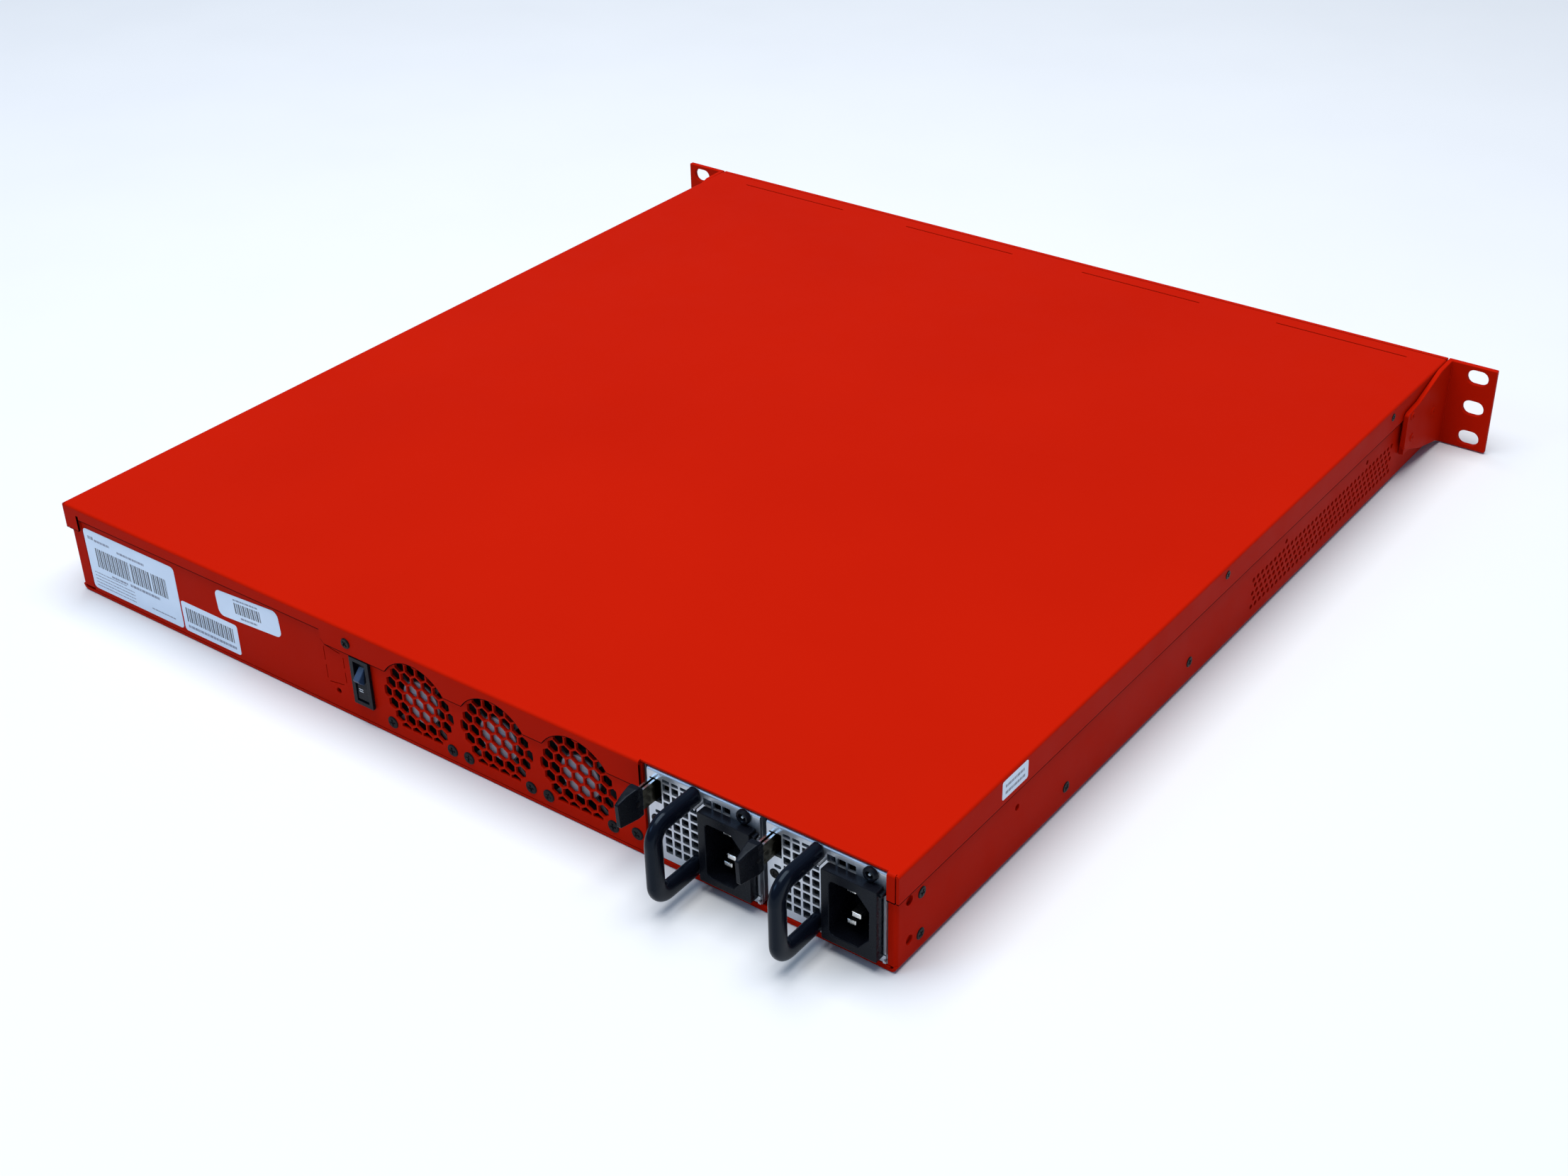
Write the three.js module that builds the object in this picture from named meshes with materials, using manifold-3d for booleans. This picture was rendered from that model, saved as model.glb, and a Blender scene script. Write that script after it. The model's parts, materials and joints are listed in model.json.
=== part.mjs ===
// A 1U rack-mounted firewall appliance: sheet-metal chassis, three exhaust fans and two hot-swap power supplies.
// Millimetres, +Z up. The front faces -Y, and +X is to the right of a person who looks at the front.
// The origin is on the underside, at the centre of the whole object's width and length.
import * as THREE from "three";
import { mergeVertices } from "three/addons/utils/BufferGeometryUtils.js";
import Module from "manifold-3d";

const wasm = await Module();
wasm.setup();

// ---- Driving dimensions ----
const HEIGHT = 43.6; // one rack unit, less its working clearance
const COVER_WIDTH = 434; // over the cover's side flanges
const BODY_LENGTH = 462; // front edge of the tray to the rear wall
const EAR_SPAN = 482.6; // 19 inches over the rack ears
const GAP = 0.3; // between pieces that touch on the real object
const SHEET = 1.2; // tray and rear wall
const COVER_SHEET = 1.1;
const PLATE = 2.4; // front panel and ears
const KEY_PROUD = 1.2; // front keys, ahead of the panel
const HANDLE_REACH = 27; // outermost part of a supply's handle, behind the rear wall
const SEAM_Z = 32; // lower edge of the cover's side flanges

const LENGTH = KEY_PROUD + PLATE + BODY_LENGTH + HANDLE_REACH;
const FRONT = KEY_PROUD + PLATE - LENGTH / 2; // front edge of the tray
const REAR = FRONT + BODY_LENGTH; // outer face of the rear wall
const PANEL_FACE = FRONT - PLATE; // outer face of the front panel

const COVER_HALF = COVER_WIDTH / 2;
const COVER_UNDER = HEIGHT - COVER_SHEET; // underside of the cover's top plate
const FLANGE_INNER = COVER_HALF - COVER_SHEET; // inner face of the cover's side flanges
const TRAY_HALF = FLANGE_INNER - GAP;
const TRAY_INNER = TRAY_HALF - SHEET;
const TRAY_TOP = COVER_UNDER - GAP;

const FAN_SIZE = 39.6;
const FAN_DEPTH = 28;
const FAN_PITCH = 40.8;
const FAN_Z = 21.3;
const FAN_X = [6.8, 6.8 - FAN_PITCH, 6.8 - 2 * FAN_PITCH];
const HEX_PITCH = 5.7; // fan grille, hole to hole
const HEX_FLATS = 4.9;
const GRILLE_RADIUS = 18.6; // the circle that trims the grille's outer holes
const GRILLE_FLOOR = 6.6; // and the level that trims its lowest row

const SWITCH = { x: 37, z: 20.4, width: 8.4, height: 20, depth: 16 };
const ROCKER_TILT = THREE.MathUtils.degToRad(10);
const REAR_SCREW = { x: 43, z: 36.8 };

const BAY_LEFT = -107.2; // the supply bay's wall next to the fans
const SUPPLY_X = [-108.7, -161.7]; // +X face of each supply
const SUPPLY_WIDTH = 50;
const SUPPLY_FLOOR = 2.7;
const SUPPLY_TOP = 41.9;
const SUPPLY_LENGTH = 190;
const SUPPLY_FACE = REAR - 0.2; // outer face of the supplies' end plates
const CASE_REAR = SUPPLY_FACE - SHEET - GAP;
const CASE_FRONT = CASE_REAR - SUPPLY_LENGTH;
const BAY_FRONT = REAR - 206;

const EAR_HOLE_X = 232.5;
const EAR_HOLE_Z = 21.8;
const EAR_HOLE_PITCH = 15.875;
const EAR_SLOT = { length: 10.3, height: 7.2 };

const BOARD_Z = [7, 8.6]; // main board, under and upper face
const BOARD_X = [-103, 205];
const DISPLAY = { x: -145, z: 22, width: 62, height: 22 };
const KEYS = { x: -88, z: 22, offset: 9.5, cap: 7.4, hole: 8 };
const JACKS = { x: 22, z: 21.6, pitchX: 14.6, pitchZ: 12.8, columns: 4 };
const CONSOLE = { x: -51, z: 15.6, width: 15.6, height: 13.2 };
const USB = { x: -28, z: 16.9, width: 14.4, height: 15.6, pitch: 7.4 };
const SFP = { x: 80, z: 14.5, width: 30.6, height: 10.8, opening: 14, tall: 9, depth: 45 };
const LIGHTS = { x: -200, z: [13, 19, 25, 31], radius: 1.4 };
const INTAKE = { first: 110, pitch: 8, count: 12, width: 3, z: [9, 35] };

// ---- Materials ----
const finish = (color, roughness, metalness = 0) =>
  new THREE.MeshStandardMaterial({ color, roughness, metalness });
const RED = finish(0xc8200c, 0.45);
const STEEL = finish(0xa6a8ac, 0.38, 0.9);
const BRASS = finish(0xc9a94e, 0.35, 0.9);
const ALUMINIUM = finish(0xb9bcc0, 0.35, 0.9);
const BLACK = finish(0x15171f, 0.5);
const DARK = finish(0x22242a, 0.6);
const GREEN = finish(0x1f5a32, 0.55);
const GLASS = finish(0x20262c, 0.08);
const LAMP = finish(0xd8dcdc, 0.3);
const KEYCAP = finish(0x2b2d33, 0.55);

// ---- Solids ----
const SNAP = 1000; // points are rounded to a thousandth, so that faces meant to be in one plane are

function solid(geometry) {
  const bare = geometry.clone();
  bare.deleteAttribute("normal");
  bare.deleteAttribute("uv");
  const points = bare.attributes.position.array;
  for (let i = 0; i < points.length; i++) points[i] = Math.round(points[i] * SNAP) / SNAP;
  const merged = mergeVertices(bare, 1e-4);
  return new wasm.Manifold(
    new wasm.Mesh({
      numProp: 3,
      vertProperties: merged.attributes.position.array,
      triVerts: new Uint32Array(merged.index.array),
    }),
  );
}

const join = (...pieces) => pieces.flat().reduce((all, piece) => all.add(piece));
const cut = (body, ...tools) => body.subtract(join(...tools));
const around = (centre, size) => [centre - size / 2, centre + size / 2];
const grow = ([low, high], by) => [low - by, high + by];

/** A block between a low and a high value on each axis. */
function box(x, y, z) {
  const block = new THREE.BoxGeometry(x[1] - x[0], y[1] - y[0], z[1] - z[0]);
  block.translate((x[0] + x[1]) / 2, (y[0] + y[1]) / 2, (z[0] + z[1]) / 2);
  return solid(block);
}

/** A round bar along Y, centred on x and z. */
function rod(radius, y, x, z, sides = 16) {
  const bar = new THREE.CylinderGeometry(radius, radius, y[1] - y[0], sides);
  bar.translate(x, (y[0] + y[1]) / 2, z);
  return solid(bar);
}

/** A round post along Z, centred on x and y. */
function post(radius, x, y, z, sides = 12) {
  const bar = new THREE.CylinderGeometry(radius, radius, z[1] - z[0], sides);
  bar.rotateX(Math.PI / 2);
  bar.translate(x, y, (z[0] + z[1]) / 2);
  return solid(bar);
}

/** A round pin along X, centred on y and z. */
function pinX(radius, x, y, z, sides = 12) {
  const bar = new THREE.CylinderGeometry(radius, radius, x[1] - x[0], sides);
  bar.rotateZ(Math.PI / 2);
  bar.translate((x[0] + x[1]) / 2, y, z);
  return solid(bar);
}

/** A prism along Y from an outline drawn in X and Z. */
function prismY(outline, y, curveSegments = 8) {
  const prism = new THREE.ExtrudeGeometry(outline, {
    depth: y[1] - y[0],
    bevelEnabled: false,
    curveSegments,
  });
  prism.rotateX(Math.PI / 2);
  prism.translate(0, y[1], 0);
  return solid(prism);
}

/** A prism along X from an outline drawn in Y and Z. */
function prismX(outline, x, curveSegments = 8) {
  const prism = new THREE.ExtrudeGeometry(outline, {
    depth: x[1] - x[0],
    bevelEnabled: false,
    curveSegments,
  });
  prism.applyMatrix4(new THREE.Matrix4().set(0, 0, 1, 0, 1, 0, 0, 0, 0, 1, 0, 0, 0, 0, 0, 1));
  prism.translate(x[0], 0, 0);
  return solid(prism);
}

/** A prism along Z from an outline drawn in X and Y. */
function prismZ(outline, z) {
  const prism = new THREE.ExtrudeGeometry(outline, { depth: z[1] - z[0], bevelEnabled: false });
  prism.translate(0, 0, z[0]);
  return solid(prism);
}

const polygon = (points) => new THREE.Shape(points.map(([u, v]) => new THREE.Vector2(u, v)));

/** A slot with round ends, its length along X. */
function slotOutline(x, z, length, height) {
  const reach = (length - height) / 2;
  const outline = new THREE.Shape();
  outline.absarc(x + reach, z, height / 2, -Math.PI / 2, Math.PI / 2, false);
  outline.absarc(x - reach, z, height / 2, Math.PI / 2, 1.5 * Math.PI, false);
  return outline;
}

// ---- The exported group ----
const appliance = new THREE.Group();

function part(name, body, material) {
  const mesh = body.getMesh();
  const stride = mesh.numProp;
  const points = new Float32Array(mesh.numVert * 3);
  for (let i = 0; i < mesh.numVert; i++) {
    points.set(mesh.vertProperties.subarray(i * stride, i * stride + 3), i * 3);
  }
  const geometry = new THREE.BufferGeometry();
  geometry.setAttribute("position", new THREE.BufferAttribute(points, 3));
  geometry.setIndex(new THREE.BufferAttribute(new Uint32Array(mesh.triVerts), 1));
  geometry.computeVertexNormals();
  const node = new THREE.Mesh(geometry, material);
  node.name = name;
  appliance.add(node);
}

// ---- Chassis ----
function baseTray() {
  const wallZ = [0, TRAY_TOP];
  const rearSkin = [REAR - SHEET, REAR];
  const pieces = [
    box([-TRAY_HALF, TRAY_HALF], [FRONT, REAR], [0, SHEET]),
    box([TRAY_INNER, TRAY_HALF], [FRONT, REAR], wallZ),
    box([-TRAY_HALF, -TRAY_INNER], [FRONT, REAR], wallZ),
    box([208, TRAY_HALF], rearSkin, wallZ), // rear return beside the wall
    box([-TRAY_HALF, -212.1], rearSkin, wallZ), // rear return beside the supplies
    box([-213, BAY_LEFT + 0.2], rearSkin, [0, 2.2]), // hem under the supplies
  ];
  const standoffs = [FRONT + 20, -60, 90, REAR - 50];
  for (const x of [-92, 40, 196]) {
    for (const y of standoffs) pieces.push(post(3, x, y, [SHEET / 2, BOARD_Z[0] - GAP], 8));
  }
  for (const y of [FRONT + 45, FRONT + 115]) {
    pieces.push(box([-200, -120], around(y, 6), [SHEET / 2, 4.2])); // rails under the drive
  }
  const vents = [];
  for (const side of [-1, 1]) {
    const wall = side > 0 ? [TRAY_INNER - 1, TRAY_HALF + 1] : [-TRAY_HALF - 1, 1 - TRAY_INNER];
    for (let i = 0; i < 14; i++) {
      vents.push(box(wall, around(FRONT + 57 + i * 10.8, 6), [7, 20.5]));
    }
  }
  return cut(join(pieces), vents);
}

/** The hexagonal holes of one fan's grille, as one tool for cutting. */
function grilleTool(x) {
  const corner = HEX_FLATS / Math.sqrt(3);
  const depth = [REAR - 2 * SHEET, REAR + SHEET];
  const holes = [];
  for (let row = -3; row <= 3; row++) {
    const count = 7 - Math.abs(row);
    for (let i = 0; i < count; i++) {
      const holeX = x + (i - (count - 1) / 2) * HEX_PITCH;
      holes.push(rod(corner, depth, holeX, FAN_Z + (row * HEX_PITCH * Math.sqrt(3)) / 2, 6));
    }
  }
  const trim = rod(GRILLE_RADIUS, depth, x, FAN_Z, 32);
  return join(holes).intersect(trim).intersect(box([x - 30, x + 30], depth, [GRILLE_FLOOR, HEIGHT]));
}

function rearPanel() {
  const skin = [REAR - SHEET, REAR];
  const through = grow(skin, 1);
  const sheet = join(
    box([BAY_LEFT + 0.5, 207.7], skin, [SHEET + GAP, TRAY_TOP]),
    box([206.5, 207.7], [REAR - 12, REAR - SHEET / 2], [3, 40]),
  );
  return cut(
    sheet,
    FAN_X.map(grilleTool),
    box(around(SWITCH.x, SWITCH.width + 2 * GAP), through, around(SWITCH.z, SWITCH.height + 2 * GAP)),
    rod(1.75, through, REAR_SCREW.x, REAR_SCREW.z, 12),
    rod(1.4, through, 53, 34.6, 8),
    rod(1.4, through, 53, 9.6, 8),
  );
}

/** The cover's rear skirt: corner tabs, a shallow run beside the labels, a deep scalloped one over the fans. */
function coverSkirt() {
  const scallop = 18.9;
  const deep = 31.8;
  const half = Math.sqrt(scallop ** 2 - (FAN_Z - deep) ** 2);
  const start = Math.atan2(deep - FAN_Z, half);
  const outline = polygon([
    [COVER_HALF, HEIGHT],
    [-COVER_HALF, HEIGHT],
    [-COVER_HALF, SEAM_Z],
    [-212.2, SEAM_Z],
    [-212.2, COVER_UNDER],
    [-106, COVER_UNDER],
    [-106, deep],
  ]);
  for (const x of [...FAN_X].reverse()) {
    outline.absarc(x, FAN_Z, scallop, Math.PI - start, start, true);
  }
  const rest = [
    [56, deep],
    [58, deep + 2],
    [58, 38],
    [207, 38],
    [207, 39.7],
    [208.6, 39.7],
    [208.6, SEAM_Z],
    [COVER_HALF, SEAM_Z],
  ];
  for (const [x, z] of rest) outline.lineTo(x, z);
  const skin = [REAR + GAP, REAR + GAP + COVER_SHEET];
  return cut(prismY(outline, skin, 9), rod(1.75, grow(skin, 1), REAR_SCREW.x, REAR_SCREW.z, 12));
}

function topCover() {
  const section = polygon([
    [-COVER_HALF, HEIGHT],
    [-COVER_HALF, SEAM_Z],
    [-FLANGE_INNER, SEAM_Z],
    [-FLANGE_INNER, COVER_UNDER],
    [FLANGE_INNER, COVER_UNDER],
    [FLANGE_INNER, SEAM_Z],
    [COVER_HALF, SEAM_Z],
    [COVER_HALF, HEIGHT],
  ]);
  const sheet = join(prismY(section, [FRONT + 1, REAR + GAP + COVER_SHEET / 2]), coverSkirt());
  const slits = [];
  for (let i = 0; i < 4; i++) {
    slits.push(box(around(-3.6 + (i - 1.5) * 108.8, 67), around(FRONT + 8.7, 0.7), [40, 50]));
  }
  const overSupplies = box([-212.2, -106], [REAR, REAR + 5], [COVER_UNDER - 1, HEIGHT + 1]);
  return cut(sheet, slits, overSupplies);
}

/** One rack ear; side is +1 on the right of the front and -1 on the left. */
function rackEar(side) {
  const inner = COVER_HALF + GAP;
  const toSide = (low, high) => (side > 0 ? [low, high] : [-high, -low]);
  const plate = box(toSide(inner, EAR_SPAN / 2), [PANEL_FACE, FRONT], [0.3, HEIGHT - 0.3]);
  const web = polygon([
    [PANEL_FACE, 0.3],
    [FRONT, 0.3],
    [FRONT + 6.5, 3.5],
    [FRONT + 27, 8.8],
    [FRONT + 48, 17],
    [FRONT + 49, 18.5],
    [FRONT + 49, 34.5],
    [FRONT + 48, 35.5],
    [FRONT + 36, 36.5],
    [FRONT + 12, 43],
    [FRONT, HEIGHT - 0.3],
    [PANEL_FACE, HEIGHT - 0.3],
  ]);
  const flange = prismX(web, toSide(inner, inner + 2.2));
  const pad = box(toSide(TRAY_HALF + GAP, inner + 1), [FRONT + 10, FRONT + 46], [13, 30]);
  const slots = [-1, 0, 1].map((i) =>
    prismY(
      slotOutline(side * EAR_HOLE_X, EAR_HOLE_Z + i * EAR_HOLE_PITCH, EAR_SLOT.length, EAR_SLOT.height),
      [PANEL_FACE - 1, FRONT + 1],
      6,
    ),
  );
  return cut(join(plate, flange, pad), slots);
}

function frontPanel() {
  const through = [PANEL_FACE - 1, FRONT + 1];
  const plate = box([0.4 - COVER_HALF, COVER_HALF - 0.4], [PANEL_FACE, FRONT - GAP], [0.4, HEIGHT - 0.4]);
  const opening = (piece) =>
    box(around(piece.x, piece.width + 2 * GAP), through, around(piece.z, piece.height + 2 * GAP));
  const tools = [
    box(around(DISPLAY.x, DISPLAY.width), through, around(DISPLAY.z, DISPLAY.height)),
    opening(CONSOLE),
    opening(USB),
    opening(SFP),
    opening({ x: JACKS.x, z: JACKS.z, width: jackBlockWidth(), height: jackBlockHeight() }),
    keyPlaces().map(([, x, z]) => box(around(x, KEYS.hole), through, around(z, KEYS.hole))),
    LIGHTS.z.map((z) => rod(LIGHTS.radius + GAP, through, LIGHTS.x, z, 12)),
  ];
  for (let i = 0; i < INTAKE.count; i++) {
    tools.push(box(around(INTAKE.first + i * INTAKE.pitch, INTAKE.width), through, INTAKE.z));
  }
  return cut(plate, tools.flat());
}

part("base_tray", baseTray(), RED);
part("rear_panel", rearPanel(), RED);
part("top_cover", topCover(), RED);
part("front_panel", frontPanel(), RED);
part("rack_ear_left", rackEar(-1), RED);
part("rack_ear_right", rackEar(1), RED);
part(
  "cover_screw_rear",
  join(
    rod(2.5, [REAR + 1.7, REAR + 3.2], REAR_SCREW.x, REAR_SCREW.z, 16),
    rod(1.4, [REAR - 6, REAR + 2], REAR_SCREW.x, REAR_SCREW.z, 10),
  ),
  DARK,
);

// ---- Exhaust fans and the supplies' own fans ----
const STRUT = 2.4; // thickness of the plate and struts at a fan's outlet

function fanFrame(size, depth, outlet, x, z, hub) {
  const bore = size / 2 - 1;
  const length = [outlet - depth, outlet];
  const plateY = [outlet - STRUT, outlet];
  const struts = [45, 135].map((angle) => {
    const bar = new THREE.BoxGeometry(2, STRUT, 2 * bore + 0.8);
    bar.rotateY(THREE.MathUtils.degToRad(angle));
    bar.translate(x, outlet - STRUT / 2, z);
    return solid(bar);
  });
  const shell = cut(box(around(x, size), length, around(z, size)), rod(bore, grow(length, 1), x, z, 28));
  return cut(join(shell, struts, rod(hub, plateY, x, z, 20)), rod(1.9, grow(plateY, 1), x, z, 10));
}

function fanRotor(size, depth, outlet, x, z, hub) {
  const tip = size / 2 - 2.3;
  const hubY = [outlet - depth + 1.5, outlet - STRUT - 0.8];
  const middle = (hubY[0] + hubY[1]) / 2;
  const chord = depth * 0.55;
  const blades = 7;
  const pieces = [
    rod(hub, hubY, x, z, 20),
    rod(1.5, [hubY[1] - 1, outlet - 0.6], x, z, 10), // shaft, in the outlet plate's bearing
  ];
  for (let i = 0; i < blades; i++) {
    const blade = new THREE.BoxGeometry(tip - hub + 1, chord, 1.1);
    blade.rotateX(THREE.MathUtils.degToRad(38));
    blade.translate((tip + hub - 1) / 2, 0, 0);
    blade.rotateY((i * 2 * Math.PI) / blades);
    blade.translate(x, middle, z);
    pieces.push(solid(blade));
  }
  return join(pieces);
}

const FAN_OUTLET = REAR - SHEET - GAP;
FAN_X.forEach((x, i) => {
  const size = [FAN_SIZE, FAN_DEPTH, FAN_OUTLET, x, FAN_Z, 10];
  part(`fan_${i + 1}_frame`, fanFrame(...size), BLACK);
  part(`fan_${i + 1}_rotor`, fanRotor(...size), DARK);
});

// ---- Rocker power switch ----
function switchBody() {
  const { x, z, width, height, depth } = SWITCH;
  const body = join(
    box(around(x, width), [REAR - depth, REAR + 0.8], around(z, height)),
    box(around(x, width + 2.2), [REAR + GAP, REAR + 1.7], around(z, height + 2)),
  );
  return cut(
    body,
    box(around(x, width - 2), [REAR - 9.5, REAR + 3], around(z, height - 1.6)),
    pinX(1.4, grow(around(x, width), -0.2), REAR - 1, z),
  );
}

/** The rocker at rest: tilted so that its upper half stands out. */
function switchRocker() {
  const turn = ([y, z]) => {
    const outer = y * Math.cos(ROCKER_TILT) + z * Math.sin(ROCKER_TILT);
    const upper = z * Math.cos(ROCKER_TILT) - y * Math.sin(ROCKER_TILT);
    return [REAR - 1 + outer, SWITCH.z + upper];
  };
  const outline = [
    [3.4, 8.3],
    [1.9, 0],
    [3.4, -8.3],
    [-1.5, -8.3],
    [-5.5, -4],
    [-5.5, 4],
    [-1.5, 8.3],
  ];
  return join(
    prismX(polygon(outline.map(turn)), around(SWITCH.x, SWITCH.width - 2.6)),
    pinX(1.2, around(SWITCH.x, SWITCH.width - 0.8), REAR - 1, SWITCH.z),
  );
}

part("power_switch_body", switchBody(), BLACK);
part("power_switch_rocker", switchRocker(), BLACK);

// ---- Supply bay ----
const DIVIDER = [-160.7, -159.7]; // the wall between the supplies
const DIVIDER_NOTCH = 14; // the divider is notched up to here, and the board above it, so that they cross
const DISTRIBUTION_FACE = BAY_FRONT + 4.6;
const CONTACT_OFFSET = 45.6; // a supply's riser board, from its +X face

function supplyCage() {
  const z = [SHEET + 0.4, TRAY_TOP - 0.2];
  const y = [BAY_FRONT, REAR - SHEET - 0.4];
  const walls = join(
    box([BAY_LEFT, BAY_LEFT + 1], y, z),
    box(DIVIDER, y, z),
    box([-214, BAY_LEFT + 1], [BAY_FRONT, BAY_FRONT + 1], z),
  );
  const notchY = [DISTRIBUTION_FACE - 2.2, DISTRIBUTION_FACE + 0.6];
  return cut(walls, box(grow(DIVIDER, 0.5), notchY, [0, DIVIDER_NOTCH]));
}

function distributionBoard() {
  const face = DISTRIBUTION_FACE;
  const sheet = box([-212.5, BAY_LEFT - 0.6], [face - 1.6, face], [3, 40]);
  const pieces = [cut(sheet, box(grow(DIVIDER, 0.5), [face - 2, face + 1], [DIVIDER_NOTCH - GAP, 41]))];
  for (const x0 of SUPPLY_X) {
    const x = x0 - CONTACT_OFFSET;
    const socket = box(around(x, 9), [face - 0.4, face + 7.9], [3.4, 37.6]);
    pieces.push(cut(socket, box(around(x, 2.4), [face + 1.2, face + 9], [4.4, 36.6])));
  }
  for (const x of [-122, -136, -175]) pieces.push(post(3, x, face + 2.4, [8, 20], 10));
  return join(pieces);
}

part("supply_cage", supplyCage(), STEEL);
part("power_distribution_board", distributionBoard(), GREEN);

// ---- Hot-swap power supplies ----
const SUPPLY_FAN = { size: 36.6, depth: 20, hub: 9 };
const INLET = { offset: 37.2, z: 20.5, width: 22.8, height: 30.6, proud: 4.3 };
const LATCH = { z: [28.4, 37.2], sheet: 0.8 };
const STATUS = { offset: 43.5, z: 39.1, ring: 2.9, lens: 1.5 };
const HANDLE = { offset: 21.7, z: [7.8, 38.3], radius: 7, thick: 5.4, deep: 7.6 };

const COLUMNS = [0, 1, 2, 3].map((column) => 8.4 + column * 4.04);

/** Centres of an end plate's square perforations, as offsets from the +X face and heights. */
function perforations() {
  const places = [];
  for (const column of COLUMNS) {
    for (let row = 0; row < 8; row++) places.push([column, 7.5 + row * 3.95]);
  }
  return places;
}

function supplyCase(x0) {
  const x = [x0 - SUPPLY_WIDTH, x0];
  const y = [CASE_FRONT, CASE_REAR];
  const z = [SUPPLY_FLOOR, SUPPLY_TOP];
  const inside = box(grow(x, -1), grow(y, 1), grow(z, -1));
  const catchSlot = box([x0 - 2, x0 + 1], [REAR - 13, REAR - 7], [30.4, 34.6]);
  return cut(box(x, y, z), inside, catchSlot);
}

function supplyEndPlate(x0) {
  const through = [SUPPLY_FACE - SHEET - 1, SUPPLY_FACE + 1];
  const plate = box(
    [x0 - SUPPLY_WIDTH - 0.1, x0 + 0.1],
    [SUPPLY_FACE - SHEET, SUPPLY_FACE],
    [SUPPLY_FLOOR - 0.1, SUPPLY_TOP - 0.5],
  );
  const hole = (offset, z, width, height) => box(around(x0 - offset, width), through, around(z, height));
  return cut(
    plate,
    perforations().map(([offset, z]) => hole(offset, z, 3.1, 3.1)),
    COLUMNS.map((offset) => hole(offset, 38.1, 3.1, 1.4)),
    [27.1, 31.4, 35.5].map((offset) => hole(offset, 37.2, 3, 2.6)),
    box([x0 - 6.3, x0 - 1], through, [27.4, 37.7]),
    box(around(x0 - INLET.offset, 20.6), through, around(INLET.z, 28.2)),
    rod(STATUS.lens + 0.4, through, x0 - STATUS.offset, STATUS.z, 12),
    rod(1, through, x0 - 4.6, 23.2, 8),
  );
}

/** A bar with an oval section, bent into a U that stands out from the end plate. */
function supplyHandle(x0) {
  const x = x0 - HANDLE.offset;
  const root = SUPPLY_FACE + GAP;
  const grip = REAR + HANDLE_REACH - HANDLE.deep / 2;
  const [low, high] = HANDLE.z;
  const at = (y, z) => new THREE.Vector3(x, y, z);
  const route = new THREE.CurvePath();
  route.add(new THREE.LineCurve3(at(root, high), at(grip - HANDLE.radius, high)));
  route.add(
    new THREE.QuadraticBezierCurve3(at(grip - HANDLE.radius, high), at(grip, high), at(grip, high - HANDLE.radius)),
  );
  route.add(new THREE.LineCurve3(at(grip, high - HANDLE.radius), at(grip, low + HANDLE.radius)));
  route.add(
    new THREE.QuadraticBezierCurve3(at(grip, low + HANDLE.radius), at(grip, low), at(grip - HANDLE.radius, low)),
  );
  route.add(new THREE.LineCurve3(at(grip - HANDLE.radius, low), at(root, low)));
  const section = new THREE.Shape();
  section.absellipse(0, 0, HANDLE.deep / 2, HANDLE.thick / 2, 0, 2 * Math.PI);
  return solid(new THREE.ExtrudeGeometry(section, { extrudePath: route, steps: 22, curveSegments: 5 }));
}

/** The latch's steel blade: a strip that ends in an open channel, with a catch tooth on its outer side. */
function latchBlade(x0) {
  const outer = x0 - 1.3;
  const inner = outer - 2.6;
  const along = [REAR - 24, REAR + 10];
  return join(
    box([outer - LATCH.sheet, outer], [REAR - 42, along[1]], LATCH.z),
    box([inner, inner + LATCH.sheet], along, LATCH.z),
    box([inner, outer], along, [LATCH.z[0], LATCH.z[0] + LATCH.sheet]),
    box([outer - 0.5, x0 + 0.5], [REAR - 12, REAR - 8], [31, 34]),
  );
}

/** The latch's thumb grip: a wedge over the blade's end, thin at its tip. */
function latchGrip(x0) {
  const side = polygon([
    [REAR + 7.8, 27.2],
    [REAR + 18.6, 26.8],
    [REAR + 19.2, 37.2],
    [REAR + 15, 39.3],
    [REAR + 11.5, 40.2],
    [REAR + 9, 40],
    [REAR + 7.8, 38.6],
  ]);
  const plan = polygon([
    [x0 - 4.9, REAR + 7],
    [x0 - 0.2, REAR + 7],
    [x0 - 1.1, REAR + 20],
    [x0 - 2.5, REAR + 20],
    [x0 - 4.9, REAR + 11],
  ]);
  const wedge = prismX(side, [x0 - 6, x0 + 1]).intersect(prismZ(plan, [25, 42]));
  const pocket = box([x0 - 4.2, x0 - 1], [REAR + 7, REAR + 10.3], [LATCH.z[0] - GAP, LATCH.z[1] + GAP]);
  return cut(wedge, pocket);
}

/** Offsets of the three blades from the inlet's centre, in X and Z, and how far each tip is sunk. */
const INLET_PINS = {
  earth: { x: -2, z: 0, sunk: 1.6 },
  line: { x: 2, z: 7, sunk: 4.5 },
  neutral: { x: 2, z: -7, sunk: 4.5 },
};

function supplyInlet(x0) {
  const x = x0 - INLET.offset;
  const face = REAR + INLET.proud;
  const aperture = polygon(
    [
      [6.4, -12.1],
      [7.6, -11.6],
      [8.15, -10.4],
      [8.15, 9.6],
      [7.6, 10.8],
      [6.4, 11.3],
      [-2.9, 11.3],
      [-8.15, 5.6],
      [-8.15, -6.4],
      [-3.7, -12.1],
    ].map(([u, v]) => [x + u, INLET.z + v]),
  );
  const body = join(
    box(around(x, INLET.width), [SUPPLY_FACE + GAP, face], around(INLET.z, INLET.height)),
    box(around(x, 20), [REAR - 22, SUPPLY_FACE + 1], around(INLET.z, 27.6)),
  );
  const slots = Object.values(INLET_PINS).map((pin) =>
    box(around(x + pin.x, 4 + 2 * GAP), [REAR - 24, REAR], around(INLET.z + pin.z, 2 + 2 * GAP)),
  );
  return cut(body, prismY(aperture, [face - 16, face + 1]), slots);
}

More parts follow.
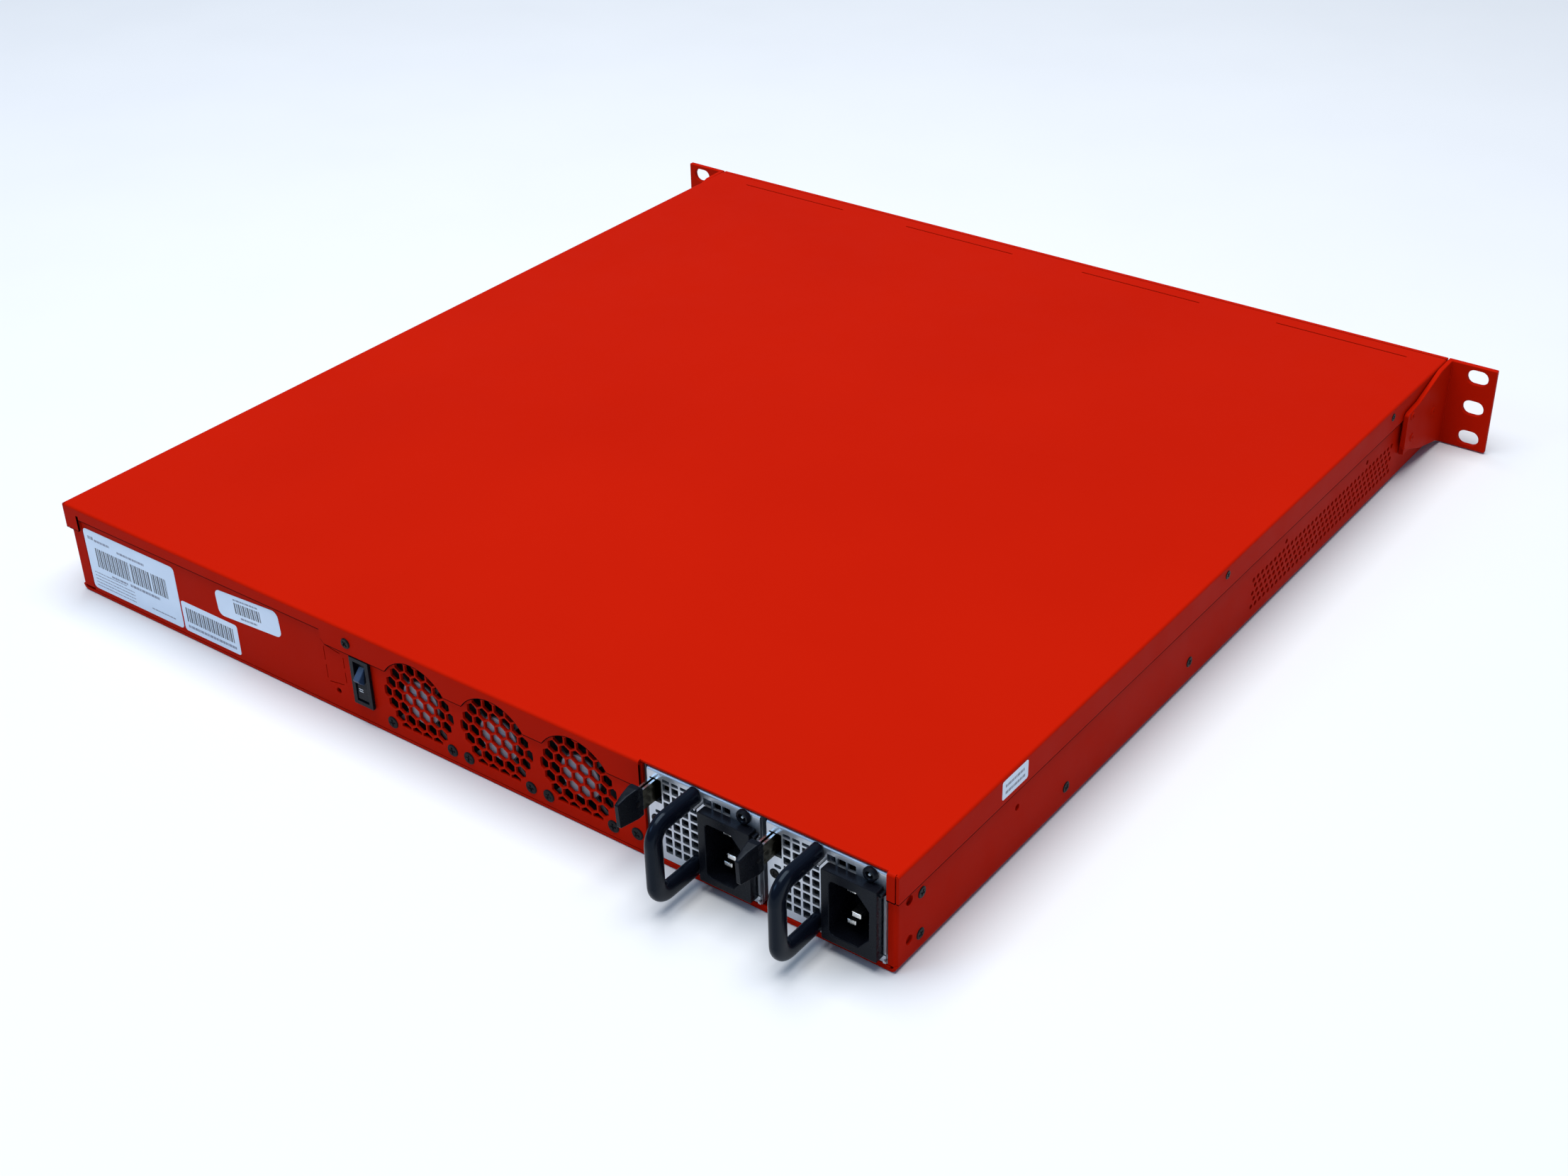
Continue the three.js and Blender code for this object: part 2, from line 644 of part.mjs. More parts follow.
function inletPin(x0, { x, z, sunk }) {
  const tip = REAR + INLET.proud - sunk;
  return box(around(x0 - INLET.offset + x, 4), [REAR - 28, tip], around(INLET.z + z, 2));
}

/** The supply's circuit board with its soldered components and the riser that plugs into the bay. */
function supplyBoard(x0) {
  const y = CASE_FRONT;
  const on = 6; // a component's base, inside the board
  return join(
    box([x0 - 48.4, x0 - 1.6], [y + 24, REAR - 31], [5, 6.6]),
    box(around(x0 - CONTACT_OFFSET, 1.6), [y - 8, y + 40], [5, 36]),
    box([x0 - 34, x0 - 10], [y + 60, y + 86], [on, 33]), // transformer
    box([x0 - 43, x0 - 41], [y + 48, y + 118], [on, 35]), // heat sinks
    box([x0 - 9, x0 - 7], [y + 48, y + 105], [on, 35]),
    post(8, x0 - 22, y + 102, [on, 34], 14), // main capacitor
    box([x0 - 40, x0 - 26], [y + 122, y + 140], [on, 24]), // filter choke
    box([x0 - 22, x0 - 12], [y + 124, y + 146], [on, 22]),
  );
}

SUPPLY_X.forEach((x0, i) => {
  const name = `psu${i + 1}`;
  const fanSize = [
    SUPPLY_FAN.size,
    SUPPLY_FAN.depth,
    CASE_FRONT + 0.5 + SUPPLY_FAN.depth,
    x0 - 1.5 - SUPPLY_FAN.size / 2,
    (SUPPLY_FLOOR + SUPPLY_TOP) / 2,
    SUPPLY_FAN.hub,
  ];
  part(`${name}_case`, supplyCase(x0), STEEL);
  part(`${name}_end_plate`, supplyEndPlate(x0), STEEL);
  part(`${name}_handle`, supplyHandle(x0), BLACK);
  part(`${name}_latch_blade`, latchBlade(x0), STEEL);
  part(`${name}_latch_grip`, latchGrip(x0), BLACK);
  part(`${name}_inlet`, supplyInlet(x0), BLACK);
  for (const [pin, place] of Object.entries(INLET_PINS)) {
    part(`${name}_inlet_${pin}_pin`, inletPin(x0, place), BRASS);
  }
  part(`${name}_board`, supplyBoard(x0), GREEN);
  part(`${name}_fan_frame`, fanFrame(...fanSize), BLACK);
  part(`${name}_fan_rotor`, fanRotor(...fanSize), DARK);
  part(
    `${name}_status_lamp`,
    join(
      rod(STATUS.ring, [SUPPLY_FACE + GAP, SUPPLY_FACE + 1.6], x0 - STATUS.offset, STATUS.z, 16),
      rod(STATUS.lens, [SUPPLY_FACE - 4, SUPPLY_FACE + 2.2], x0 - STATUS.offset, STATUS.z, 10),
    ),
    LAMP,
  );
});

// ---- Electronics inside ----
function mainBoard() {
  const top = BOARD_Z[1];
  const on = top - 0.4;
  const board = box(BOARD_X, [FRONT + 2, REAR - 36], BOARD_Z);
  const memorySlots = [80, 94].map((y) =>
    cut(box([-60, 82], around(y, 7), [on, 14]), box([-57.5, 79.5], around(y, 2.2), [10.2, 15])),
  );
  return join(
    board,
    memorySlots,
    box([50, 90], [-20, 20], [on, 13.7]), // processor and its socket
    box([120, 150], [-60, -30], [on, 12]), // network controller
    box([160, 176], [60, 110], [on, 16]), // power plug
    [130, 142, 154].map((x) => post(4, x, 130, [on, 20], 10)), // bulk capacitors
  );
}

function heatSink() {
  const base = box([30, 110], [-40, 40], [14, 18]);
  const fins = [];
  for (let i = 0; i < 11; i++) fins.push(box(around(32 + i * 7.6, 1.6), [-40, 40], [17, 38]));
  return join(base, fins);
}

function memoryModule(y) {
  const chips = [];
  for (let i = 0; i < 8; i++) {
    chips.push(box(around(-43 + i * 15.4, 9), around(y, 3.6), [20, 33]));
  }
  return join(box([-56, 78], around(y, 1.4), [10.6, 40]), chips);
}

part("main_board", mainBoard(), GREEN);
part("processor_heat_sink", heatSink(), ALUMINIUM);
part("memory_module_1", memoryModule(80), GREEN);
part("memory_module_2", memoryModule(94), GREEN);
part("storage_drive", box([-195, -125], [FRONT + 30, FRONT + 130], [4.5, 13.5]), ALUMINIUM);

// ---- Front controls, display and sockets ----
function jackBlockWidth() {
  return JACKS.pitchX * JACKS.columns + 1.4;
}
function jackBlockHeight() {
  return JACKS.pitchZ * 2 + 0.2;
}
function keyPlaces() {
  const { x, z, offset } = KEYS;
  return [
    ["up", x, z + offset],
    ["down", x, z - offset],
    ["left", x - offset, z],
    ["right", x + offset, z],
  ];
}

const SOCKET_FACE = PANEL_FACE + 0.2;

/** The mouth of a modular jack: a rectangle with a notch for the plug's latch, above (+1) or below (-1). */
function jackMouth(x, z, side) {
  const depth = [SOCKET_FACE - 1, SOCKET_FACE + 13];
  return join(
    box(around(x, 11.8), depth, around(z, 7.6)),
    box(around(x, 6), depth, around(z + side * 4, 3.6)),
  );
}

function jackBlock() {
  const body = box(
    around(JACKS.x, jackBlockWidth()),
    [SOCKET_FACE, SOCKET_FACE + 17],
    around(JACKS.z, jackBlockHeight()),
  );
  const mouths = [];
  for (let column = 0; column < JACKS.columns; column++) {
    const x = JACKS.x + (column - (JACKS.columns - 1) / 2) * JACKS.pitchX;
    for (const side of [-1, 1]) {
      mouths.push(jackMouth(x, JACKS.z + (side * JACKS.pitchZ) / 2 - side * 0.6, side));
    }
  }
  return cut(body, mouths);
}

function consoleJack() {
  const { x, z, width, height } = CONSOLE;
  const body = box(around(x, width), [SOCKET_FACE, SOCKET_FACE + 17], around(z, height));
  return cut(body, jackMouth(x, z - 0.6, 1));
}

function usbSockets() {
  const { x, z, width, height, pitch } = USB;
  const body = box(around(x, width), [SOCKET_FACE, SOCKET_FACE + 17], around(z, height));
  const mouths = [-0.5, 0.5].map((step) =>
    box(around(x, 12.6), [SOCKET_FACE - 1, SOCKET_FACE + 12], around(z + step * pitch, 5.4)),
  );
  return cut(body, mouths);
}

function sfpCage() {
  const { x, z, width, height, opening, tall, depth } = SFP;
  const body = box(around(x, width), [SOCKET_FACE, SOCKET_FACE + depth], around(z, height));
  const bays = [-1, 1].map((side) =>
    box(around(x + side * 7.4, opening), [SOCKET_FACE - 1, SOCKET_FACE + depth - 1], around(z, tall)),
  );
  return cut(body, bays);
}

function displayBoard() {
  const face = FRONT + 4;
  const switches = keyPlaces().map(([, x, z]) => box(around(x, 6), [FRONT + 2.3, face + 0.5], around(z, 6)));
  return join(
    box([-182, -70], [face, face + 1.6], [9.2, 37]),
    box(around(DISPLAY.x, DISPLAY.width - 1), [FRONT + 0.3, face + 0.5], around(DISPLAY.z, DISPLAY.height - 1)),
    switches,
  );
}

function navigationKey(x, z) {
  return join(
    box(around(x, KEYS.cap), [PANEL_FACE - KEY_PROUD, FRONT + 0.4], around(z, KEYS.cap)),
    box(around(x, KEYS.cap + 1.6), [FRONT, FRONT + 0.8], around(z, KEYS.cap + 1.6)),
    rod(1.5, [FRONT + 0.5, FRONT + 1.3], x, z, 10),
  );
}

function statusLights() {
  const pipes = LIGHTS.z.map((z) => rod(LIGHTS.radius, [SOCKET_FACE, FRONT + 1], LIGHTS.x, z, 12));
  return join(box(around(LIGHTS.x, 6), [FRONT, FRONT + 5], [10, 34]), pipes);
}

part("display_board", displayBoard(), GREEN);
part(
  "display_window",
  box(
    around(DISPLAY.x, DISPLAY.width - 2 * GAP),
    [SOCKET_FACE, FRONT - 0.1],
    around(DISPLAY.z, DISPLAY.height - 2 * GAP),
  ),
  GLASS,
);
for (const [name, x, z] of keyPlaces()) part(`key_${name}`, navigationKey(x, z), KEYCAP);
part("network_jack_block", jackBlock(), STEEL);
part("console_jack", consoleJack(), STEEL);
part("usb_sockets", usbSockets(), STEEL);
part("sfp_cage", sfpCage(), STEEL);
part("status_lights", statusLights(), LAMP);

export default appliance;
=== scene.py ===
import bpy
import bmesh
import json
import math
from mathutils import Matrix, Vector


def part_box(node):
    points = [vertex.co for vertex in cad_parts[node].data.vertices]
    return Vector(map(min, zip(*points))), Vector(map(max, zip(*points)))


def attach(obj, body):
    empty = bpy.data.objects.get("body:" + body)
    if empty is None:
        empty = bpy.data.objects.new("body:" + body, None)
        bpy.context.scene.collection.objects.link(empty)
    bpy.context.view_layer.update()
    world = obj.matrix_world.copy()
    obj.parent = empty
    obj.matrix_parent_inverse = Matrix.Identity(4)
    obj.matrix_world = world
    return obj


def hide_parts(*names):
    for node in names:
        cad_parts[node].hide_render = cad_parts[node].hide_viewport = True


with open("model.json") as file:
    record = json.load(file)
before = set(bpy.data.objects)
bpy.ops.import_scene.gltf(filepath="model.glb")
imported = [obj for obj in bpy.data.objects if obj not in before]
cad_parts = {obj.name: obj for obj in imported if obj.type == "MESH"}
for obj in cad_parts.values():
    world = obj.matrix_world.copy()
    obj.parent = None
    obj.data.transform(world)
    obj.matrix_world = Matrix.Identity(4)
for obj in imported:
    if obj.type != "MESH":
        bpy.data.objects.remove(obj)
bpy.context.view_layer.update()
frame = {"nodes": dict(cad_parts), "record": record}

MM = 0.001
NODES = frame["nodes"]
BODY_OF = {n: b for b, ns in frame["record"]["behaviour"]["bodies"].items() for n in ns}


def box_mm(node):
    """A CAD node's box in millimetres, as ((x, x), (y, y), (z, z))."""
    low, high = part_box(node)
    return [(low[i] / MM, high[i] / MM) for i in range(3)]


# ---- Places, mostly from the CAD boxes, in millimetres ----
TRAY = box_mm("base_tray")
COVER = box_mm("top_cover")
PANEL = box_mm("front_panel")
REAR = box_mm("rear_panel")[1][1]
FRONT = TRAY[1][0]
FACE = PANEL[1][0]
TRAY_HALF = TRAY[0][1]
COVER_HALF = COVER[0][1]
SEAM_Z = COVER[2][0]
TOP = COVER[2][1]
SKIRT = COVER[1][1]
SHEET = 1.2
COVER_SHEET = 1.1
SUPPLY_GAP = (-212.2, -106.0)  # where the cover has no rear skirt, over the supplies


# ---- Materials ----
def new_material(name):
    material = bpy.data.materials.new(name)
    material.use_nodes = True
    tree = material.node_tree
    tree.nodes.clear()
    out = tree.nodes.new("ShaderNodeOutputMaterial")
    shader = tree.nodes.new("ShaderNodeBsdfPrincipled")
    tree.links.new(shader.outputs["BSDF"], out.inputs["Surface"])
    coords = tree.nodes.new("ShaderNodeTexCoord")
    return material, tree, shader, coords.outputs["Object"]


def noise(tree, coords, scale, detail=4.0, stretch=(1, 1, 1), rough=0.5):
    mapping = tree.nodes.new("ShaderNodeMapping")
    mapping.inputs["Scale"].default_value = stretch
    tree.links.new(coords, mapping.inputs["Vector"])
    node = tree.nodes.new("ShaderNodeTexNoise")
    node.inputs["Scale"].default_value = scale
    node.inputs["Detail"].default_value = detail
    node.inputs["Roughness"].default_value = rough
    tree.links.new(mapping.outputs["Vector"], node.inputs["Vector"])
    return node.outputs["Fac"]


def ramp(tree, value, low, high):
    """Maps noise around its middle to a range of numbers."""
    node = tree.nodes.new("ShaderNodeMapRange")
    node.inputs["From Min"].default_value = 0.3
    node.inputs["From Max"].default_value = 0.7
    node.inputs["To Min"].default_value = low
    node.inputs["To Max"].default_value = high
    tree.links.new(value, node.inputs["Value"])
    return node.outputs["Result"]


def blend(tree, factor, a, b):
    node = tree.nodes.new("ShaderNodeMix")
    node.data_type = "RGBA"
    node.inputs[6].default_value = (*a, 1)
    node.inputs[7].default_value = (*b, 1)
    tree.links.new(factor, node.inputs[0])
    return node.outputs[2]


def bump(tree, shader, height, strength, distance):
    node = tree.nodes.new("ShaderNodeBump")
    node.inputs["Strength"].default_value = strength
    node.inputs["Distance"].default_value = distance * MM
    tree.links.new(height, node.inputs["Height"])
    tree.links.new(node.outputs["Normal"], shader.inputs["Normal"])


def surface(name, light, dark, rough, metallic=0.0, grain=900, patch=25, relief=0.04, strength=0.35,
            stretch=(1, 1, 1), specular=0.5, tint=(1, 1, 1)):
    """A finish with patchy colour, uneven gloss and fine relief."""
    material, tree, shader, coords = new_material(name)
    shader.inputs["Metallic"].default_value = metallic
    shader.inputs["Specular IOR Level"].default_value = specular
    shader.inputs["Specular Tint"].default_value = (*tint, 1)
    patches = ramp(tree, noise(tree, coords, patch, 5, stretch), 0, 1)
    tree.links.new(blend(tree, patches, dark, light), shader.inputs["Base Color"])
    gloss = ramp(tree, noise(tree, coords, patch * 6, 3, stretch), rough[0], rough[1])
    tree.links.new(gloss, shader.inputs["Roughness"])
    bump(tree, shader, noise(tree, coords, grain, 3, stretch), strength, relief)
    return material


def circuit_material(name):
    """Green solder mask with tracks and pads."""
    material, tree, shader, coords = new_material(name)
    tracks = tree.nodes.new("ShaderNodeTexBrick")
    tracks.inputs["Scale"].default_value = 140
    tracks.inputs["Mortar Size"].default_value = 0.03
    tracks.inputs["Color1"].default_value = (0.012, 0.09, 0.03, 1)
    tracks.inputs["Color2"].default_value = (0.016, 0.12, 0.04, 1)
    tracks.inputs["Mortar"].default_value = (0.05, 0.22, 0.08, 1)
    tree.links.new(coords, tracks.inputs["Vector"])
    pads = tree.nodes.new("ShaderNodeTexVoronoi")
    pads.inputs["Scale"].default_value = 220
    tree.links.new(coords, pads.inputs["Vector"])
    dots = tree.nodes.new("ShaderNodeMapRange")
    dots.inputs["From Min"].default_value = 0.12
    dots.inputs["From Max"].default_value = 0.16
    dots.inputs["To Min"].default_value = 1
    dots.inputs["To Max"].default_value = 0
    tree.links.new(pads.outputs["Distance"], dots.inputs["Value"])
    mix = tree.nodes.new("ShaderNodeMix")
    mix.data_type = "RGBA"
    mix.inputs[7].default_value = (0.55, 0.5, 0.36, 1)
    tree.links.new(dots.outputs["Result"], mix.inputs[0])
    tree.links.new(tracks.outputs["Color"], mix.inputs[6])
    tree.links.new(mix.outputs[2], shader.inputs["Base Color"])
    tree.links.new(ramp(tree, noise(tree, coords, 300), 0.3, 0.5), shader.inputs["Roughness"])
    bump(tree, shader, tracks.outputs["Fac"], 0.3, 0.05)
    return material


RED = (0.425, 0.0078, 0.0006), (0.405, 0.0070, 0.0005)
MAT = {
    "red": surface("red_powder_coat", *RED, (0.40, 0.50), grain=1500, patch=9, relief=0.05, strength=0.25,
                   specular=0.012),
    "edge": surface("red_powder_coat_fold", *RED, (0.28, 0.34), grain=1500, patch=9, relief=0.03, strength=0.15,
                    specular=0.4),
    "dark_steel": surface("black_oxide_steel", (0.006, 0.006, 0.007), (0.003, 0.003, 0.004), (0.30, 0.45), 0,
                          grain=2500, patch=300, specular=0.1),
    # Near-black, for screw recesses, fan fixing holes and the strips under the cover's edges: painted shade.
    "hole": surface("shadowed_hole", (0.002, 0.001, 0.001), (0.001, 0.001, 0.001), (0.7, 0.9), grain=800,
                    specular=0.02),
    "zinc": surface("zinc_plated_steel", (0.58, 0.61, 0.65), (0.46, 0.49, 0.54), (0.28, 0.42), 0.85, grain=700,
                    patch=160, relief=0.02, stretch=(1, 1, 0.35)),
    "spring": surface("bright_spring_steel", (0.15, 0.135, 0.095), (0.10, 0.09, 0.06), (0.20, 0.32), 1.0, grain=500,
                      patch=90, relief=0.01, stretch=(1, 0.2, 1)),
    # The bluish specular tint on these plastics turns their reflections blue: painted blue of the sky light.
    "plastic": surface("black_moulded_plastic", (0.0045, 0.0052, 0.0080), (0.0030, 0.0035, 0.0055), (0.24, 0.32),
                       grain=2600, patch=60, relief=0.008, strength=0.06, specular=0.11, tint=(0.75, 0.88, 1)),
    "handle": surface("black_handle_plastic", (0.0035, 0.0048, 0.0095), (0.0025, 0.0035, 0.0070), (0.17, 0.24),
                      grain=2600, patch=45, relief=0.006, strength=0.05, specular=0.15, tint=(0.6, 0.8, 1)),
    # Blue for the rocker's finger bar: a painted highlight of the blue sky light on the rocker.
    "bar": surface("switch_bar_painted_highlight", (0.030, 0.055, 0.115), (0.022, 0.042, 0.090), (0.25, 0.35), grain=2600, patch=60,
                   relief=0.008, strength=0.05, specular=0.3),
    "fan": surface("fan_plastic", (0.020, 0.020, 0.022), (0.012, 0.012, 0.013), (0.40, 0.55), grain=1200, patch=80),
    "hub_label": surface("fan_hub_sticker", (0.26, 0.25, 0.27), (0.18, 0.17, 0.19), (0.35, 0.5), grain=600,
                         patch=120, relief=0.01),
    "paper": surface("sticker_film", (0.66, 0.76, 0.88), (0.61, 0.71, 0.83), (0.30, 0.42), grain=900, patch=70,
                     relief=0.01, strength=0.1),
    "ink": surface("sticker_ink", (0.040, 0.042, 0.055), (0.020, 0.022, 0.030), (0.4, 0.5), grain=900, patch=300),
    "grey_ink": surface("sticker_grey_ink", (0.26, 0.29, 0.36), (0.18, 0.20, 0.26), (0.4, 0.5), grain=900,
                        patch=300),
    "pins": surface("nickel_plated_contact", (0.80, 0.79, 0.76), (0.66, 0.65, 0.62), (0.14, 0.24), 1.0, grain=600,
                    patch=200, relief=0.01),
    "gold": surface("gold_flashed_contact", (0.78, 0.55, 0.20), (0.66, 0.44, 0.14), (0.2, 0.3), 1.0, grain=900,
                    patch=300, relief=0.01),
    "board": circuit_material("green_circuit_board"),
    "chip": surface("component_package", (0.020, 0.020, 0.022), (0.012, 0.012, 0.014), (0.45, 0.6), grain=1500,
                    patch=120),
    "winding": surface("copper_winding", (0.46, 0.20, 0.06), (0.30, 0.11, 0.03), (0.35, 0.5), 0.3, grain=700,
                       patch=200, relief=0.1, stretch=(1, 1, 4)),
    "aluminium": surface("satin_aluminium", (0.66, 0.67, 0.69), (0.55, 0.56, 0.58), (0.28, 0.42), 1.0, grain=500,
                         patch=60, relief=0.02, stretch=(1, 0.15, 1)),
    "lamp": surface("frosted_light_pipe", (0.60, 0.63, 0.64), (0.50, 0.53, 0.54), (0.25, 0.4), grain=700,
                    patch=100, relief=0.02),
    "white_ink": surface("switch_mark", (0.70, 0.72, 0.74), (0.60, 0.62, 0.64), (0.4, 0.5), grain=800, patch=200),
    "screen": surface("display_screen", (0.035, 0.09, 0.10), (0.025, 0.07, 0.08), (0.2, 0.3), grain=500, patch=40,
                      relief=0.01),
    "key": surface("rubber_key", (0.05, 0.05, 0.055), (0.035, 0.035, 0.04), (0.5, 0.65), grain=1500, patch=90),
    "tongue": surface("socket_insert", (0.03, 0.03, 0.034), (0.02, 0.02, 0.023), (0.45, 0.6), grain=1200, patch=80),
}
glass, tree, shader, coords = new_material("clear_window")
shader.inputs["Transmission Weight"].default_value = 0.92
shader.inputs["IOR"].default_value = 1.49
tree.links.new(ramp(tree, noise(tree, coords, 90), 0.02, 0.07), shader.inputs["Roughness"])
glass_colour = blend(tree, noise(tree, coords, 30), (0.70, 0.78, 0.80), (0.82, 0.88, 0.90))
tree.links.new(glass_colour, shader.inputs["Base Color"])
MAT["glass"] = glass


# ---- Mesh helpers, in millimetres ----
def finish_piece(name, mesh, body, materials, replaces=(), smooth=None):
    """Puts a mesh in the scene as a piece that rides on a body."""
    if smooth is not None:
        mesh = shaded(mesh, smooth)
    for key in [materials] if isinstance(materials, str) else materials:
        mesh.materials.append(MAT[key])
    piece = bpy.data.objects.new(name, mesh)
    bpy.context.scene.collection.objects.link(piece)
    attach(piece, body)
    if replaces:
        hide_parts(*replaces)
    return piece


def shaded(mesh, angle):
    """Smooth shading that keeps large faces flat and creases above the angle sharp."""
    mesh.materials.clear()
    mesh.shade_smooth()
    mesh.set_sharp_from_angle(angle=math.radians(angle))
    obj = bpy.data.objects.new("working", mesh)
    bpy.context.scene.collection.objects.link(obj)
    modifier = obj.modifiers.new("normals", "WEIGHTED_NORMAL")
    modifier.mode = "FACE_AREA"
    modifier.weight = 100
    modifier.keep_sharp = True
    mesh = evaluated(obj)
    normals = [n.vector.copy() for n in mesh.corner_normals]
    bm = bmesh.new()
    bm.from_mesh(mesh)
    bm.faces.ensure_lookup_table()
    for region in flat_regions(bm, 0.9999):
        if sum(f.calc_area() for f in region) > 8 * MM * MM:
            level = max(region, key=lambda f: f.calc_area()).normal.copy()
            for face in region:
                for loop in mesh.polygons[face.index].loop_indices:
                    normals[loop] = level
    bm.free()
    mesh.normals_split_custom_set(normals)
    return mesh


def flat_regions(bm, alike=0.99999):
    """The mesh's faces in groups that lie side by side in one plane."""
    bm.normal_update()
    done, regions = set(), []
    for first in bm.faces:
        if first in done:
            continue
        done.add(first)
        region, ahead = [], [first]
        while ahead:
            face = ahead.pop()
            region.append(face)
            for edge in face.edges:
                for other in edge.link_faces:
                    if other not in done and other.normal.dot(first.normal) > alike:
                        done.add(other)
                        ahead.append(other)
        regions.append(region)
    return regions


def evaluated(obj):
    """The mesh of an object with its modifiers applied; the object goes away."""
    graph = bpy.context.evaluated_depsgraph_get()
    mesh = bpy.data.meshes.new_from_object(obj.evaluated_get(graph))
    bpy.data.objects.remove(obj)
    return mesh


class Builder:
    """Collects faces in millimetres, each with a material number."""

    def __init__(self):
        self.points, self.faces, self.kinds = [], [], []

    def add(self, points, faces, kind=0):
        base = len(self.points)
        self.points += [tuple(p) for p in points]
        self.faces += [[base + i for i in face] for face in faces]
        self.kinds += [kind] * len(faces)

    def mesh(self, name, merge=0.0):
        mesh = bpy.data.meshes.new(name)
        mesh.from_pydata([Vector(p) * MM for p in self.points], [], self.faces)
        mesh.polygons.foreach_set("material_index", self.kinds)
        bm = bmesh.new()
        bm.from_mesh(mesh)
        if merge:
            bmesh.ops.remove_doubles(bm, verts=bm.verts, dist=merge * MM)
        bmesh.ops.recalc_face_normals(bm, faces=bm.faces)
        bm.to_mesh(mesh)
        bm.free()
        return mesh

    def piece(self, name, body, slot, materials, replaces=(), smooth=30, merge=0.002, bevel=None):
        mesh = self.mesh(name, merge)
        if bevel:
            mesh = bevelled(mesh, *bevel)
        return finish_piece(name, mesh, body, materials, replaces, smooth)

    def prism(self, outline, axis, low, high, kind=0):
        """An outline swept along an axis. The outline's two coordinates follow the other axes in X, Y, Z order."""
        n = len(outline)
        points = [place(axis, u, v, w) for w in (low, high) for u, v in outline]
        faces = [list(range(n))[::-1], list(range(n, 2 * n))]
        faces += [[i, (i + 1) % n, n + (i + 1) % n, n + i] for i in range(n)]
        self.add(points, faces, kind)

    def block(self, x, y, z, kind=0):
        self.prism([(x[0], y[0]), (x[1], y[0]), (x[1], y[1]), (x[0], y[1])], "Z", z[0], z[1], kind)

    def plate(self, loops, axis, low, high, kind=0):
        """A flat sheet with holes: the first loop is its edge and the others are holes."""
        flat = bmesh.new()
        for loop in loops:
            verts = [flat.verts.new((u, v, 0)) for u, v in loop]
            for i, vert in enumerate(verts):
                flat.edges.new((vert, verts[(i + 1) % len(verts)]))
        bmesh.ops.triangle_fill(flat, use_beauty=True, use_dissolve=False, edges=flat.edges[:])
        flat.verts.index_update()
        corners = [(v.co.x, v.co.y) for v in flat.verts]
        faces = [[v.index for v in f.verts] for f in flat.faces]
        flat.free()
        n = len(corners)
        points = [place(axis, u, v, w) for w in (low, high) for u, v in corners]
        self.add(points, faces + [[n + i for i in f][::-1] for f in faces], kind)
        start = 0
        for loop in loops:
            count = len(loop)
            ring = [[start + i, start + (i + 1) % count] for i in range(count)]
            self.add(points, [[a, b, n + b, n + a] for a, b in ring], kind)
            start += count

    def lathe(self, profile, axis, centre, sides=24, kind=0):
        """A profile of (radius, height) pairs turned about an axis through centre."""
        points, faces = [], []
        for r, h in profile:
            for i in range(sides):
                a = 2 * math.pi * i / sides
                u, v = r * math.cos(a), r * math.sin(a)
                p = place(axis, u, v, h)
                points.append([p[k] + centre[k] for k in range(3)])
        for row in range(len(profile) - 1):
            for i in range(sides):
                j = (i + 1) % sides
                faces.append([row * sides + i, row * sides + j, (row + 1) * sides + j, (row + 1) * sides + i])
        faces.append(list(range(sides))[::-1])
        faces.append([(len(profile) - 1) * sides + i for i in range(sides)])
        self.add(points, faces, kind)


def place(axis, u, v, w):
    """A point from its place in a plane (u, v) and along the plane's axis (w)."""
    return {"X": (w, u, v), "Y": (u, w, v), "Z": (u, v, w)}[axis]


def ring(u, v, radius, sides=12, turn=0.0):
    return [(u + radius * math.cos(turn + 2 * math.pi * i / sides),
             v + radius * math.sin(turn + 2 * math.pi * i / sides)) for i in range(sides)]


def rect(u, v):
    return [(u[0], v[0]), (u[1], v[0]), (u[1], v[1]), (u[0], v[1])]


def about(centre, size):
    return (centre - size / 2, centre + size / 2)


def rounded(u, v, radius, steps=4):
    """A rectangle with round corners."""
    points = []
    for cu, cv, start in ((u[1], v[1], 0), (u[0], v[1], 90), (u[0], v[0], 180), (u[1], v[0], 270)):
        cu += -radius if cu == u[1] else radius
        cv += -radius if cv == v[1] else radius
        for i in range(steps + 1):
            a = math.radians(start + 90 * i / steps)
            points.append((cu + radius * math.cos(a), cv + radius * math.sin(a)))
    return points


def bevelled(mesh, width, segments=2, angle=30):
    """Rounds a mesh's sharp edges."""
    mesh.shade_smooth()
    mesh.set_sharp_from_angle(angle=math.radians(angle))
    obj = bpy.data.objects.new("working", mesh)
    bpy.context.scene.collection.objects.link(obj)
    modifier = obj.modifiers.new("bevel", "BEVEL")
    modifier.width = width * MM
    modifier.segments = segments
    modifier.limit_method = "ANGLE"
    modifier.angle_limit = math.radians(angle)
    modifier.use_clamp_overlap = True
    modifier.harden_normals = False
    modifier.miter_outer = "MITER_ARC"
    return evaluated(obj)


def cad_mesh(node):
    """A CAD node's mesh with its flat faces filled again by better-shaped triangles."""
    bm = bmesh.new()
    bm.from_mesh(NODES[node].data)
    bmesh.ops.remove_doubles(bm, verts=bm.verts, dist=0.004 * MM)
    for region in flat_regions(bm):
        if len(region) < 3:
            continue
        normal = max(region, key=lambda f: f.calc_area()).normal.copy()
        inside = set(region)
        edges = {e for f in region for e in f.edges if sum(o in inside for o in e.link_faces) == 1}
        bmesh.ops.delete(bm, geom=region, context="FACES_KEEP_BOUNDARY")
        bmesh.ops.triangle_fill(bm, use_beauty=True, use_dissolve=False, edges=list(edges), normal=normal)
    bmesh.ops.recalc_face_normals(bm, faces=bm.faces)
    mesh = bpy.data.meshes.new(node + "_mesh")
    bm.to_mesh(mesh)
    bm.free()
    return mesh


